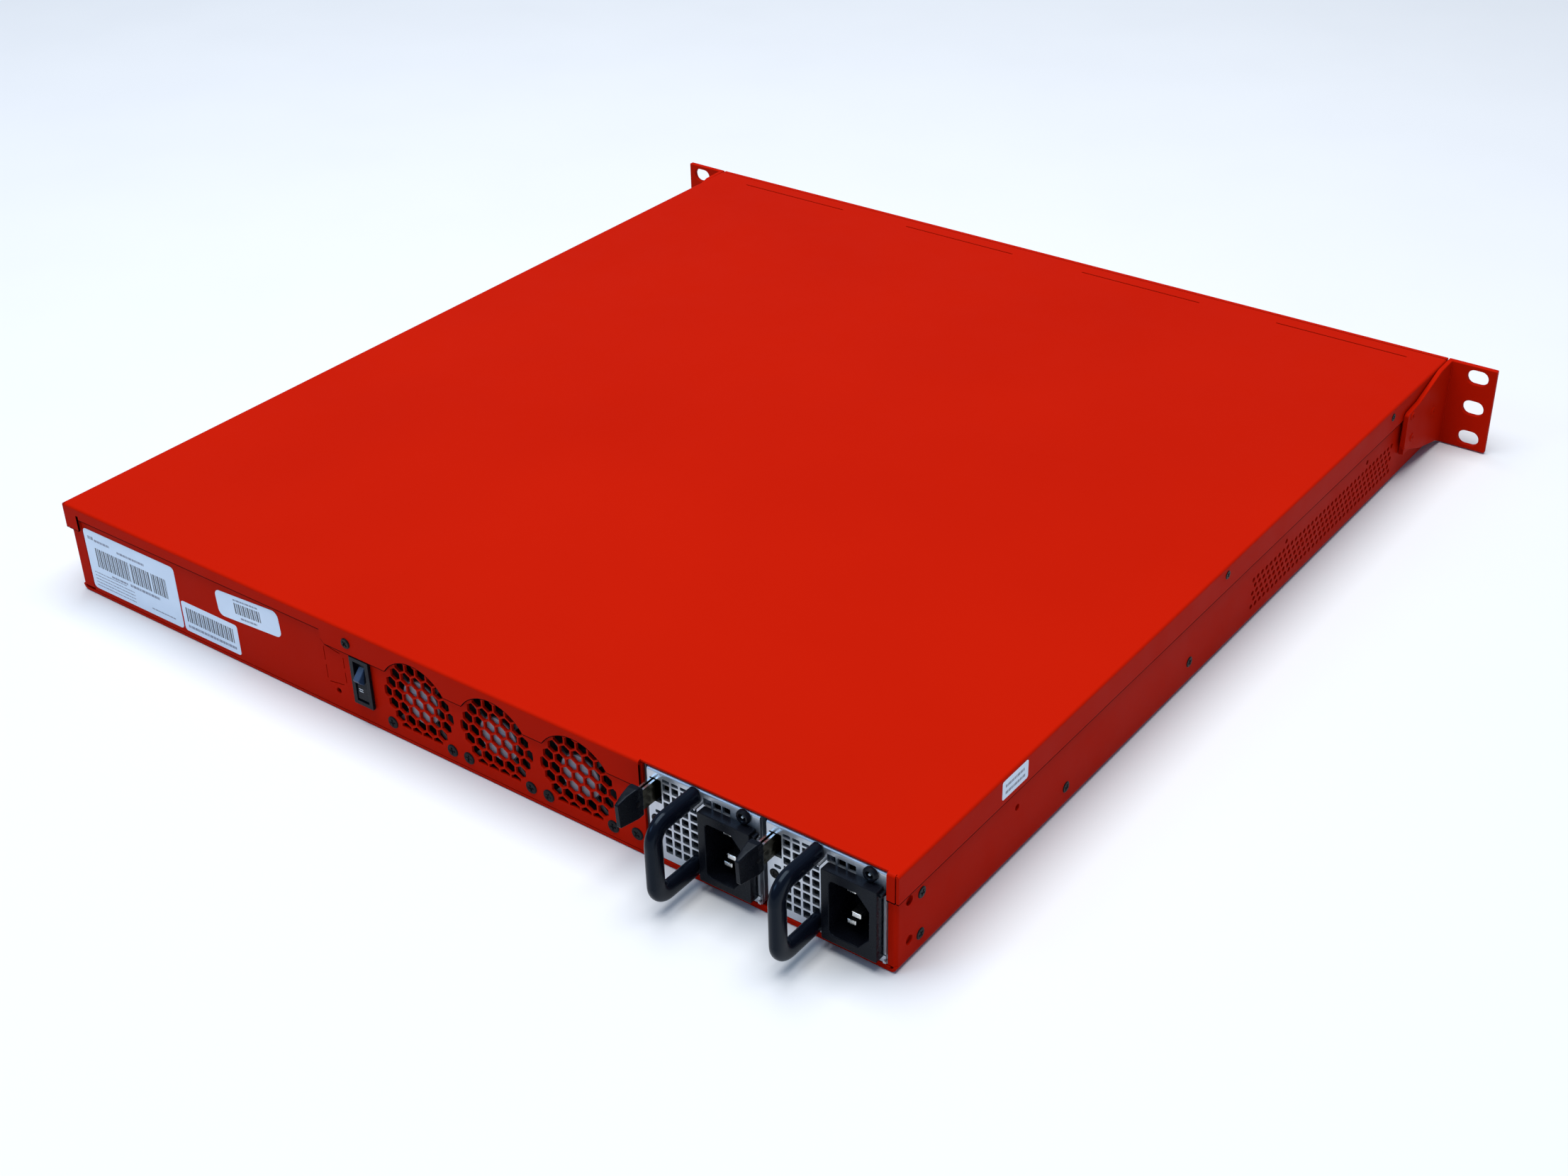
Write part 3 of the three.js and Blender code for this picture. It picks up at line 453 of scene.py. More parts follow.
def cut_away(mesh, tool):
    """A mesh less a tool made in a Builder."""
    obj = bpy.data.objects.new("working", mesh)
    cutter = bpy.data.objects.new("cutter", tool.mesh("cutter"))
    for o in (obj, cutter):
        bpy.context.scene.collection.objects.link(o)
    modifier = obj.modifiers.new("cut", "BOOLEAN")
    modifier.operation = "DIFFERENCE"
    modifier.solver = "EXACT"
    modifier.object = cutter
    made = evaluated(obj)
    bpy.data.objects.remove(cutter)
    made.materials.clear()
    return made


def refine(node, material, width=0.2, segments=2, angle=30, name=None, cutter=None, smooth=30, pick=None):
    """A CAD node remade with rounded edges, and with a second material where pick says so."""
    mesh = cad_mesh(node)
    if cutter:
        mesh = cut_away(mesh, cutter)
    if width:
        mesh = bevelled(mesh, width, segments, angle)
    if pick:
        for face in mesh.polygons:
            face.material_index = pick(face.center / MM)
    return finish_piece(name or node + "_body", mesh, BODY_OF[node], material, [node], smooth)


# ---- Fasteners ----
def screw_head(builder, centre, axis, sign, radius, rise=0.5, kind=0, dark=1):
    """A flat head with a chamfered rim and a cross recess, facing along the signed axis."""
    arm, half = radius * 0.62, radius * 0.17
    cross = [(arm, -half), (arm, half), (half, half), (half, arm), (-half, arm), (-half, half), (-arm, half),
             (-arm, -half), (-half, -half), (-half, -arm), (half, -arm), (half, -half)]
    turn = 0.35 + 0.7 * math.sin(centre[0] * 1.7 + centre[1] * 0.9 + centre[2])
    cross = [(u * math.cos(turn) - v * math.sin(turn), u * math.sin(turn) + v * math.cos(turn)) for u, v in cross]
    k = "XYZ".index(axis)
    uv = [centre[i] for i in range(3) if i != k]
    w = centre[k]
    top = w + sign * rise
    shift = lambda loop: [(uv[0] + u, uv[1] + v) for u, v in loop]
    rim = shift(ring(0, 0, radius * 0.86, 24))
    builder.plate([rim, shift(cross)], axis, top - sign * 0.02, top, kind)
    shoulder = w + sign * rise * 0.35
    for r0, w0, r1, w1 in ((radius, w, radius, shoulder), (radius, shoulder, radius * 0.86, top)):
        low, high = shift(ring(0, 0, r0, 24)), shift(ring(0, 0, r1, 24))
        points = [place(axis, u, v, w0) for u, v in low] + [place(axis, u, v, w1) for u, v in high]
        builder.add(points, [[i, (i + 1) % 24, 24 + (i + 1) % 24, 24 + i] for i in range(24)], kind)
    # The cross recess gets the near-black second material: painted shade in the recess.
    deep = top - sign * (rise - 0.03)
    floor = shift([(u * 0.55, v * 0.55) for u, v in cross])
    points = [place(axis, u, v, top) for u, v in shift(cross)] + [place(axis, u, v, deep) for u, v in floor]
    builder.add(points, [[i, (i + 1) % 12, 12 + (i + 1) % 12, 12 + i] for i in range(12)], dark)
    builder.add(points, [list(range(12, 24))], dark)


def screws(name, places, axis, sign, radius, body="chassis", rise=0.45, slot="black_screw", replaces=()):
    """One piece with a screw head at each place."""
    builder = Builder()
    for centre in places:
        screw_head(builder, centre, axis, sign, radius, rise)
    return builder.piece(name, body, slot, ["dark_steel", "hole"], replaces, smooth=25)


# ---- Chassis ----
VENT = {"start": FRONT + 52.8, "end": FRONT + 202.5, "pitch": 4.05, "row": 3.35, "radius": 1.25, "low": 7.6}
SIDE_SCREWS = [(REAR - 15.0, 25.7), (REAR - 14.4, 7.9), (REAR - 112.2, 9.1), (REAR - 209.6, 10.9)]
COVER_SCREWS = [(REAR - 235.4, 39.3), (REAR - 400.1, 39.3)]
SIDE_HOLES = [(REAR - 7.5, 27.3, 2.0), (REAR - 7.6, 9.9, 2.0), (REAR - 76.7, 22.3, 1.4),
              (FRONT + 166.3, 24.9, 1.2), (FRONT + 83.2, 25.3, 1.2)]


def vent_holes():
    """Five staggered rows of round holes in a side wall."""
    count = int((VENT["end"] - VENT["start"]) / VENT["pitch"])
    holes = []
    for row in range(5):
        for i in range(count - row % 2):
            y = VENT["start"] + (i + 0.5 + 0.5 * (row % 2)) * VENT["pitch"]
            z = VENT["low"] + row * VENT["row"]
            holes.append(ring(y, z, VENT["radius"], 10))
    return holes


def tray():
    """The tray: its floor folds up into side walls, which bend round the rear corners."""
    made = Builder()
    r, fold, top = 2.6, 1.4, TRAY[2][1]

    def arc(side, radius, start):
        centre = side * (TRAY_HALF - r)
        angles = [math.radians(start + 90 * i / 6) for i in range(7)]
        return [(centre + radius * math.cos(a), r + radius * math.sin(a)) for a in angles]

    skin = arc(-1, r, 180) + arc(1, r, 270) + arc(1, fold, 270)[::-1] + arc(-1, fold, 180)[::-1]
    made.prism(skin, "Y", FRONT, REAR)
    corner = 1.6
    for side in (-1, 1):
        inner = side * (TRAY_HALF - SHEET)
        holes = vent_holes() + [ring(y, z, radius, 14) for y, z, radius in SIDE_HOLES]
        made.plate([rect((FRONT, REAR - corner), (r, top))] + holes, "X", inner, side * TRAY_HALF)
        reach = side * (208 if side > 0 else 212.1)
        bend = [(side * (TRAY_HALF - corner + corner * math.cos(a)), REAR - corner + corner * math.sin(a))
                for a in (math.radians(90 * i / 6) for i in range(7))]
        rest = [(reach, REAR), (reach, REAR - SHEET), (inner, REAR - SHEET), (inner, REAR - corner)]
        made.prism(bend + rest, "Z", r, top)
    bay = BAY[0] - 1.2, BAY[1] + 1.6
    made.prism(rounded((REAR - SHEET, REAR), (SHEET * 0.5, 2.3), 0.5, 3), "X", *bay)
    made.piece("tray_shell", "chassis", "red_powder_coat", "red", ["base_tray"], smooth=25, merge=0)


def face_loops(node, axis, level):
    """The outlines of a CAD node's flat face at a level along an axis, its edge first and then its holes."""
    k = "XYZ".index(axis)
    bm = bmesh.new()
    bm.from_mesh(NODES[node].data)
    bmesh.ops.remove_doubles(bm, verts=bm.verts, dist=0.004 * MM)
    on = {f for f in bm.faces if all(abs(v.co[k] / MM - level) < 0.01 for v in f.verts)}
    follow = {}
    for edge in bm.edges:
        inside = [f for f in edge.link_faces if f in on]
        if len(inside) == 1:
            loop = next(c for c in inside[0].loops if c.edge == edge)
            follow.setdefault(loop.vert, []).append(loop.link_loop_next.vert)
    loops = []
    while follow:
        start = vert = next(iter(follow))
        points = []
        while vert in follow:
            points.append(tuple(vert.co[i] / MM for i in range(3) if i != k))
            after = follow[vert].pop()
            if not follow[vert]:
                del follow[vert]
            vert = after
            if vert == start:
                break
        loops.append(points)
    bm.free()
    area = lambda p: abs(sum(a[0] * b[1] - b[0] * a[1] for a, b in zip(p, p[1:] + p[:1]))) / 2
    return sorted(loops, key=area, reverse=True)


def cover():
    """The cover: a flat top with folded sides, a rear skirt folded down from it, and open seams at its corners."""
    made = Builder()
    y0, under, fold = COVER[1][0], TOP - COVER_SHEET, 1.2
    flat, seam = COVER_HALF - fold, COVER_HALF - 1.5
    (tab, open_to), bend = SUPPLY_GAP, SKIRT - fold
    top = [(-flat, y0), (flat, y0), (flat, bend), (open_to, bend), (open_to, REAR - 0.5), (tab, REAR - 0.5),
           (tab, bend), (-flat, bend)]
    slits = face_loops("top_cover", "Z", TOP)[1:]
    made.plate([top] + slits, "Z", under, TOP)
    arc = [(math.cos(math.radians(15 * i)), math.sin(math.radians(15 * i))) for i in range(7)]
    for side in (-1, 1):
        outer = [(side * (flat + fold * c), TOP - fold + fold * d) for c, d in arc]
        inner = [(side * flat, under), (side * (COVER_HALF - COVER_SHEET), TOP - fold)]
        made.prism(outer + inner, "Y", y0, SKIRT - 0.35, 1)
        holes = [ring(y, z, 1.6, 16) for y, z in COVER_SCREWS]
        made.plate([rect((y0, SKIRT - 0.3), (SEAM_Z, TOP - fold))] + holes, "X", side * (COVER_HALF - COVER_SHEET),
                   side * COVER_HALF)
    rear = [(bend + fold * c, TOP - fold + fold * d) for c, d in arc] + [(bend, under), (REAR + 0.3, TOP - fold)]
    made.prism(rear, "X", open_to, seam, 1)
    made.prism(rear, "X", -seam, tab, 1)
    lip = [(REAR - 0.5, TOP), (REAR - 0.15, TOP - 0.1), (REAR, TOP - 0.4), (REAR, under + 0.3), (REAR - 0.15, under),
           (REAR - 0.5, under)]
    made.prism(lip, "X", tab, open_to, 1)
    trim = lambda loop: [(max(-seam, min(seam, u)), min(v, TOP - fold)) for u, v in loop]
    loops = [trim(loop) for loop in face_loops("top_cover", "Y", SKIRT)]
    tabs = [loop for loop in loops if max(u for u, v in loop) < open_to - 9]
    made.plate([loop for loop in loops if loop not in tabs], "Y", REAR + 0.3, SKIRT)
    for loop in tabs:
        made.plate([loop], "Y", REAR + 0.3, SKIRT)
    made.piece("cover_shell", "chassis", "red_powder_coat", ["red", "edge"], ["top_cover"], smooth=25, merge=0)


def rear_wall():
    """The rear panel with the outline of an unused socket opening."""

    def slit(a, b, width=0.35):
        du, dv = b[0] - a[0], b[1] - a[1]
        length = math.hypot(du, dv)
        nu, nv = -dv / length * width / 2, du / length * width / 2
        return [(a[0] + nu, a[1] + nv), (a[0] - nu, a[1] - nv), (b[0] - nu, b[1] - nv), (b[0] + nu, b[1] + nv)]

    slits = [slit(a, b) for a, b in (((58.5, 28.8), (58.5, 22.4)), ((58.5, 20.2), (58.5, 13.8)),
                                     ((57.6, 30.1), (49.3, 28.8)), ((57.6, 12.5), (49.3, 13.8)),
                                     ((47.6, 27.4), (47.6, 22.3)), ((47.6, 20.3), (47.6, 15.2)))]
    slits.append(ring(53, 34.7, 0.8))
    builder = Builder()
    builder.plate(face_loops("rear_panel", "Y", REAR) + slits, "Y", REAR - SHEET, REAR)
    builder.block((206.5, 207.7), (REAR - 12, REAR - SHEET), (3, 40))
    builder.piece("rear_wall", "chassis", "red_powder_coat", "red", ["rear_panel"], smooth=25, bevel=(0.13, 2))


BAY = box_mm("psu2_end_plate")[0][0], box_mm("psu1_end_plate")[0][1]
SWITCH = box_mm("power_switch_body")

tray()
cover()
rear_wall()
refine("front_panel", "red", 0.3, 2, name="front_plate")
for side in ("left", "right"):
    refine(f"rack_ear_{side}", "red", 0.45, 3, name=f"ear_{side}_bracket")

fan_screws = [(x, REAR, 6.4) for x in (23.0, -9.4, -18.1, -50.2, -59.0, -90.7)] + [(-102.3, REAR, 8.3)]
screws("fan_screws", fan_screws, "Y", 1, 2.7)
x, y, z = (sum(box_mm("cover_screw_rear")[i]) / 2 for i in range(3))
screws("rear_cover_screw", [(x, SKIRT, z)], "Y", 1, 2.35, rise=0.6, replaces=["cover_screw_rear"])
for side, name in ((-1, "left"), (1, "right")):
    wall = side * TRAY_HALF
    screws(f"side_screws_{name}", [(wall, y, z) for y, z in SIDE_SCREWS], "X", side, 2.3, rise=0.35)
    flange = side * COVER_HALF
    screws(f"cover_screws_{name}", [(flange, y, z) for y, z in COVER_SCREWS], "X", side, 1.9, rise=0.3)
    builder = Builder()
    for y, z in ((44, 33), (41, 20.6), (17, 24)):
        screw_head(builder, (side * (COVER_HALF + 2.5), FRONT + y, z), "X", side, 2.1, 0.45)
    builder.piece(f"ear_screws_{name}", "chassis", "black_screw", ["red", "hole"], smooth=25)


plugs = Builder()
for side in (-1, 1):
    behind = sorted((side * (TRAY_HALF - SHEET), side * (TRAY_HALF - SHEET - 0.6)))
    for y, z, radius in SIDE_HOLES[:3]:
        plugs.prism(ring(y, z, radius + 0.5, 16), "X", *behind)
plugs.piece("side_hole_backs", "chassis", "red_powder_coat", "red", smooth=25)


# ---- Painted shadow: near-black strips under the edges of the cover's flanges, at its corner seams and under its skirt ----
seams = Builder()
for side in (-1, 1):
    edge = side * COVER_HALF
    seams.block(sorted((edge - side * 1.0, edge - side * 0.05)), (COVER[1][0], SKIRT - 0.3), (SEAM_Z - 0.4, SEAM_Z))
    seams.block(sorted((edge - side * 1.5, edge - side * 1.1)), (REAR + 0.2, REAR + 0.8), (SEAM_Z - 0.4, 41))
seams.block((-COVER_HALF + 1.4, -212.1), (SKIRT - 1.0, SKIRT - 0.05), (SEAM_Z - 0.35, SEAM_Z))
shadow = face_loops("top_cover", "Y", SKIRT)[0]
seams.plate([[(max(-211, min(215, u)), v - 0.4 if v < TOP - 2 else v - 2) for u, v in shadow]], "Y", SKIRT - 0.9,
            SKIRT - 0.06)
seams.piece("cover_painted_shadow_strips", "chassis", "red_powder_coat", "hole", smooth=None, merge=0)


# ---- Stickers: bars and lines only ----
def bars(builder, frame_of, u, v, seed, kind=1):
    """A row of bars of uneven width."""
    at, i = u[0], seed
    while at < u[1] - 0.25:
        i += 1
        thick = 0.22 + 0.26 * ((i * 7919 + seed * 104729) % 3)
        gap = 0.24 + 0.2 * ((i * 6101 + seed * 31337) % 3)
        if at + thick > u[1]:
            break
        builder.plate([[frame_of(a, b) for a, b in rect((at, at + thick), v)]], *builder.face, kind)
        at += thick + gap


def dashes(builder, frame_of, u, v, height, seed, kind=2):
    """A line of short strokes, as small print looks from a distance."""
    at, i = u[0], seed
    while at < u[1] - 0.3:
        i += 1
        long = 0.5 + 0.45 * ((i * 5171 + seed * 7351) % 4)
        end = min(at + long, u[1])
        builder.plate([[frame_of(a, b) for a, b in rect((at, end), (v, v + height))]], *builder.face, kind)
        at = end + 0.28


def sticker(name, centre, size, corner, turn, axis, base, side, body, codes, lines, slot="light_pipe"):
    """A sticker. Its own u runs to the reader's right and v runs up, from its lower left corner."""
    builder = Builder()
    w, h = size
    flip = -1 if (axis == "Y") == (side > 0) else 1

    def frame_of(u, v):
        du, dv = flip * (u - w / 2), v - h / 2
        return (centre[0] + du * math.cos(turn) - dv * math.sin(turn),
                centre[1] + du * math.sin(turn) + dv * math.cos(turn))

    outline = [frame_of(u, v) for u, v in rounded((0, w), (0, h), corner, 5)]
    builder.plate([outline], axis, base, base + side * 0.09)
    builder.face = (axis, base + side * 0.09, base + side * 0.11)
    for i, (u0, u1, v0, v1) in enumerate(codes):
        bars(builder, frame_of, (u0 * w, u1 * w), (v0 * h, v1 * h), i + 3)
    for i, (u0, u1, v, tall) in enumerate(lines):
        dashes(builder, frame_of, (u0 * w, u1 * w), v * h, tall, i + 5)
    builder.piece(name, body, slot, ["paper", "ink", "grey_ink"], smooth=None, merge=0)


fine = [(0.04, 0.48, 0.06 + 0.055 * i, 0.45) for i in range(4)]
sticker("rating_sticker", (177.6, 18.8), (59.3, 30.2), 2.0, 0, "Y", REAR, 1, "chassis",
        [(0.10, 0.47, 0.40, 0.72), (0.49, 0.70, 0.40, 0.72), (0.72, 0.88, 0.40, 0.72)],
        [(0.04, 0.10, 0.84, 1.6), (0.11, 0.28, 0.83, 1.1), (0.36, 0.66, 0.79, 1.1), (0.24, 0.42, 0.31, 1.0),
         (0.45, 0.78, 0.31, 1.3), (0.66, 0.92, 0.09, 0.6), (0.04, 0.40, 0.28, 0.45)] + fine)
sticker("serial_sticker", (129.5, 11.1), (35.0, 14.8), 1.4, 0, "Y", REAR, 1, "chassis",
        [(0.07, 0.93, 0.34, 0.82)], [(0.07, 0.93, 0.14, 1.3)])
sticker("asset_sticker", (103.0, 28.0), (38.3, 12.4), 3.0, math.radians(-3.6), "Y", REAR, 1, "chassis",
        [(0.29, 0.70, 0.30, 0.72)], [(0.29, 0.68, 0.80, 0.8), (0.36, 0.62, 0.12, 0.9)])
sticker("side_sticker", (REAR - 72.0, 38.0), (17.3, 8.0), 1.0, 0, "X", -COVER_HALF, -1, "chassis",
        [], [(0.12, 0.88, 0.58, 1.2), (0.12, 0.88, 0.22, 1.2)])


# ---- Fans ----
def rotor(name, node, centre, hub, tip, span, shaft_end, body):
    """A hub with a rounded edge and seven curved, twisted blades. span is the hub's range along Y."""
    builder = Builder()
    cx, cz = centre
    y0, y1 = span
    profile = [(0.6, y1), (hub - 1.4, y1), (hub - 0.5, y1 - 0.35), (hub, y1 - 1.3), (hub, y0 + 0.4), (hub - 0.5, y0),
               (0.6, y0)]
    builder.lathe(profile, "Y", (cx, 0, cz), 40)
    builder.lathe([(1.45, y1 - 0.5), (1.45, shaft_end)], "Y", (cx, 0, cz), 16)
    long = (y1 - y0) * 0.80
    steps_r, steps_c = 6, 8
    for k in range(7):
        front, back = [], []
        for i in range(steps_r + 1):
            radius = hub - 0.4 + (tip - hub + 0.4) * i / steps_r
            sweep = 0.95 - 0.25 * i / steps_r
            for j in range(steps_c + 1):
                t = j / steps_c
                turn = 2 * math.pi * k / 7 + (t - 0.5) * sweep + 0.18 * i / steps_r
                y = y0 + (y1 - y0) * 0.1 + long * (t + 0.16 * math.sin(math.pi * t))
                y = min(y, y1 - 0.3)
                thick = 0.22 + 0.42 * math.sin(math.pi * min(max(t, 0.02), 0.98)) ** 0.6
                for sheet, sign in ((front, 1), (back, -1)):
                    a = turn + sign * thick / radius * 0.8
                    sheet.append((cx + radius * math.cos(a), y - sign * thick * 0.5, cz + radius * math.sin(a)))
        row = steps_c + 1
        n = len(front)
        faces = []
        for i in range(steps_r):
            for j in range(steps_c):
                a = i * row + j
                faces += [[a, a + 1, a + row + 1, a + row], [n + a, n + a + row, n + a + row + 1, n + a + 1]]
        rim = [i * row for i in range(steps_r)] + [steps_r * row + j for j in range(steps_c)]
        rim += [(steps_r - i) * row + steps_c for i in range(steps_r)] + [steps_c - j for j in range(steps_c)]
        faces += [[rim[m], rim[(m + 1) % len(rim)], n + rim[(m + 1) % len(rim)], n + rim[m]] for m in range(len(rim))]
        builder.add(front + back, faces)
    builder.piece(name, body, "fan_black", "fan", [node], smooth=35)


def fan(prefix, body_fixed, body_turning, hub):
    """A fan's housing, its rotor, the sticker on its hub and four near-black discs painted on as the shade of its
    fixing holes.
    """
    frame_box, turning = box_mm(prefix + "_frame"), box_mm(prefix + "_rotor")
    cx, cz = (sum(frame_box[i]) / 2 for i in (0, 2))
    size = frame_box[0][1] - frame_box[0][0]
    outlet = frame_box[1][1]
    refine(prefix + "_frame", "fan", 0.25, 2, name=prefix + "_housing")
    span = turning[1][0], outlet - 3.2
    rotor(prefix + "_impeller", prefix + "_rotor", (cx, cz), hub, size / 2 - 2.3, span, turning[1][1], body_turning)
    disc = Builder()
    disc.plate([ring(cx, cz, hub - 0.6, 40)], "Y", outlet, outlet + 0.12)
    for i in range(3):
        disc.plate([rect(about(cx, hub * (1.1 - 0.2 * i)), about(cz + hub * (0.35 - 0.33 * i), 0.9))], "Y",
                   outlet + 0.12, outlet + 0.14, 1)
    disc.piece(prefix + "_hub_sticker", body_fixed, "light_pipe", ["hub_label", "grey_ink"], smooth=None, merge=0)
    # Flat near-black discs over the fixing holes: painted shade of the holes.
    corner = Builder()
    for u in (-1, 1):
        for v in (-1, 1):
            corner.plate([ring(cx + u * (size / 2 - 3.4), cz + v * (size / 2 - 3.4), 1.9, 16)], "Y", outlet - 0.02,
                         outlet + 0.02)
    corner.piece(prefix + "_painted_fixing_hole_shade", body_fixed, "fan_black", "hole", smooth=None, merge=0)


for i in (1, 2, 3):
    fan(f"fan_{i}", "chassis", f"fan_{i}", 10)


# ---- Power switch ----
refine("power_switch_body", "plastic", 0.3, 3, name="switch_housing")


def rocker():
    """A rocker with a raised finger bar that slopes up into it, and a mark on its lower half."""
    (x0, x1), _, (z0, z1) = box_mm("power_switch_rocker")
    cx = (x0 + x1) / 2
    face = [(REAR - 0.8, z1 - 0.1), (REAR + 0.6, 22), (REAR + 1.1, 18), (REAR + 1.3, z0 + 0.2)]
    builder = Builder()
    builder.prism(face + [(REAR - 2, 12.3), (REAR - 6, 16.5), (REAR - 6, 24.5), (REAR - 2, 28.4)], "X",
                  *about(cx, x1 - x0 - 0.8))
    builder.prism(ring(REAR - 1, sum(SWITCH[2]) / 2, 1.2, 16), "X", x0, x1)
    mesh = bevelled(builder.mesh("rocker", 0.002), 0.3, 3, 40)
    finish_piece("switch_rocker", mesh, "power_rocker", "plastic", ["power_switch_rocker"], 35)
    # The finger bar's blue material is a painted highlight on the rocker.
    bar = Builder()
    bar.prism([(REAR - 0.6, 26.9), (REAR + 3.5, 22.6), (REAR + 3.6, 21.9), (REAR + 3.1, 21.2), (REAR + 0.5, 18.8),
               (REAR - 0.6, 19)], "X", *about(cx + 0.6, 3.3))
    mesh = bevelled(bar.mesh("bar", 0.002), 0.45, 3, 40)
    finish_piece("switch_finger_bar", mesh, "power_rocker", "bar", (), 35)
    mark = Builder()
    for z in (15.9, 16.9):
        mark.block(about(cx + 0.9, 2.2), (REAR + 1.0, REAR + 1.3), about(z, 0.3))
    mark.piece("switch_mark", "power_rocker", "light_pipe", "white_ink", smooth=None)


rocker()


# ---- Hot-swap power supplies ----
HANDLE_DEPTH = 7.6
LAMP_X = {n: sum(box_mm(f"psu{n}_status_lamp")[0]) / 2 for n in (1, 2)}


def handle(n):
    """A U of rounded, slightly flattened section, swept round its bends."""
    (xa, xb), (ya, yb), (za, zb) = box_mm(f"psu{n}_handle")
    half_x, half_d = (xb - xa) / 2, HANDLE_DEPTH / 2
    cx = (xa + xb) / 2
    grip = yb - half_d
    high, low = zb - half_d, za + half_d
    radius = 6.6
    line = [(ya, high, 90)]
    for cz, start in ((high - radius, 90), (low + radius, 0)):
        for i in range(11):
            a = start - 90 * i / 10
            turn = math.radians(a)
            line.append((grip - radius + radius * math.cos(turn), cz + radius * math.sin(turn), a))
    line.append((ya, low, -90))
    sides = 32
    points, faces = [], []
    for y, z, a in line:
        ny, nz = math.cos(math.radians(a)), math.sin(math.radians(a))
        for i in range(sides):
            t = 2 * math.pi * i / sides
            c, s = math.cos(t), math.sin(t)
            u = half_x * math.copysign(abs(c) ** 0.86, c)
            v = half_d * math.copysign(abs(s) ** 0.86, s)
            points.append((cx + u, y + ny * v, z + nz * v))
    for k in range(len(line) - 1):
        for i in range(sides):
            j = (i + 1) % sides
            faces.append([k * sides + i, k * sides + j, (k + 1) * sides + j, (k + 1) * sides + i])
    faces += [list(range(sides))[::-1], [(len(line) - 1) * sides + i for i in range(sides)]]
    builder = Builder()
    builder.add(points, faces)
    builder.piece(f"psu{n}_grab_handle", f"psu{n}", "handle_black", "handle", [f"psu{n}_handle"], smooth=40)


def end_plate(n, x0):
    """A perforated steel plate with a rounded top edge."""
    (xa, xb), (ya, yb), (za, zb) = box_mm(f"psu{n}_end_plate")
    roll = 1.1
    loops = [rect((xa, xb), (za, zb - roll))]
    for column in range(4):
        u = x0 - 8.4 - 4.04 * column
        for row in range(8):
            loops.append(rounded(about(u, 3.1), about(7.5 + 3.95 * row, 3.1), 0.35, 2))
        loops.append(rounded(about(u, 3.1), about(38.1, 1.4), 0.3, 2))
    for offset in (27.1, 31.4, 35.5):
        loops.append(rounded(about(x0 - offset, 3.5), about(37.2, 3.2), 0.3, 2))
    loops.append(rounded((x0 - 6.2, x0 - 1.0), (27.4, 37.7), 0.4, 2))
    loops.append(rect(about(x0 - 37.2, 20.6), about(20.5, 28.2)))
    loops.append(ring(LAMP_X[n], 39.1, 1.5, 20))
    loops.append(rounded(about(x0 - 4.3, 3.0), about(23.1, 1.5), 0.6, 3))
    builder = Builder()
    builder.plate(loops, "Y", ya, yb)
    arc = [(yb - roll + roll * math.cos(a), zb - roll + roll * math.sin(a)) for a in
           (math.radians(90 * i / 6) for i in range(7))]
    builder.prism(arc + [(ya, zb), (ya, zb - roll)], "X", xa, xb)
    builder.block((x0 - 49.95, x0 - 48.75), (yb, yb + 0.8), (2.9, 6.4))
    builder.block((x0 - 49.95, x0 - 49.35), (yb, yb + 1.5), (4.1, 4.8))
    builder.block((x0 - 25.1, x0 - 24.5), (yb, yb + 4.6), (35.9, 36.5))
    builder.block((x0 - 50.1, x0 - 49.1), (yb, yb + 0.9), (7.2, 33.0))
    builder.block((x0 - 26.6, x0 - 21.0), (ya - 1.9, ya - 1.3), (6.5, 36.7))
    builder.piece(f"psu{n}_face_plate", f"psu{n}", "galvanised_steel", "zinc", [f"psu{n}_end_plate"], smooth=25,
                  merge=0)
    screws(f"psu{n}_plate_screw", [(x0 - 2.9, yb, 19.4)], "Y", 1, 2.05, f"psu{n}", 0.35)


def inlet(n, x0):
    """The mains inlet's moulding, with a wide chamfer and a side lug."""
    lug = Builder()
    lug.block((x0 - 50.0, x0 - 48.0), (REAR + 0.2, REAR + 3.0), (33.2, 34.6))
    mesh = bevelled(lug.mesh("lug"), 0.25, 2)
    finish_piece(f"psu{n}_inlet_lug", mesh, f"psu{n}", "plastic", (), 30)
    refine(f"psu{n}_inlet", "plastic", 0.55, 3, name=f"psu{n}_inlet_moulding")
    for pin in ("earth", "line", "neutral"):
        refine(f"psu{n}_inlet_{pin}_pin", "pins", 0.5, 3, name=f"psu{n}_{pin}_blade")


def latch(n, x0):
    """The release latch: a folded blade with bright strips along its top edges that paint in their highlights, its
    thumb grip and the pin through the grip.
    """
    refine(f"psu{n}_latch_blade", "spring", 0.08, 1, name=f"psu{n}_latch_strip")
    # Thin bright nickel strips on the blade's top edges: painted highlights.
    edges = Builder()
    for outer in (x0 - 1.3, x0 - 3.1):
        edges.block((outer - 0.8, outer), (REAR - 3, REAR + 7.6), (37.15, 37.3))
    edges.piece(f"psu{n}_latch_edge_highlights", f"psu{n}_latch", "latch_steel", "pins", smooth=None, merge=0)
    refine(f"psu{n}_latch_grip", "plastic", 0.55, 3, name=f"psu{n}_latch_thumb_grip")
    (xa, _), (_, yb), _ = box_mm(f"psu{n}_latch_grip")
    dot = Builder()
    dot.lathe([(0.95, xa + 0.1), (0.95, xa - 0.16), (0.7, xa - 0.28), (0.3, xa - 0.3)], "X", (0, yb - 8.2, 33.6), 20)
    dot.piece(f"psu{n}_latch_pin", f"psu{n}_latch", "latch_steel", "dark_steel", smooth=35)


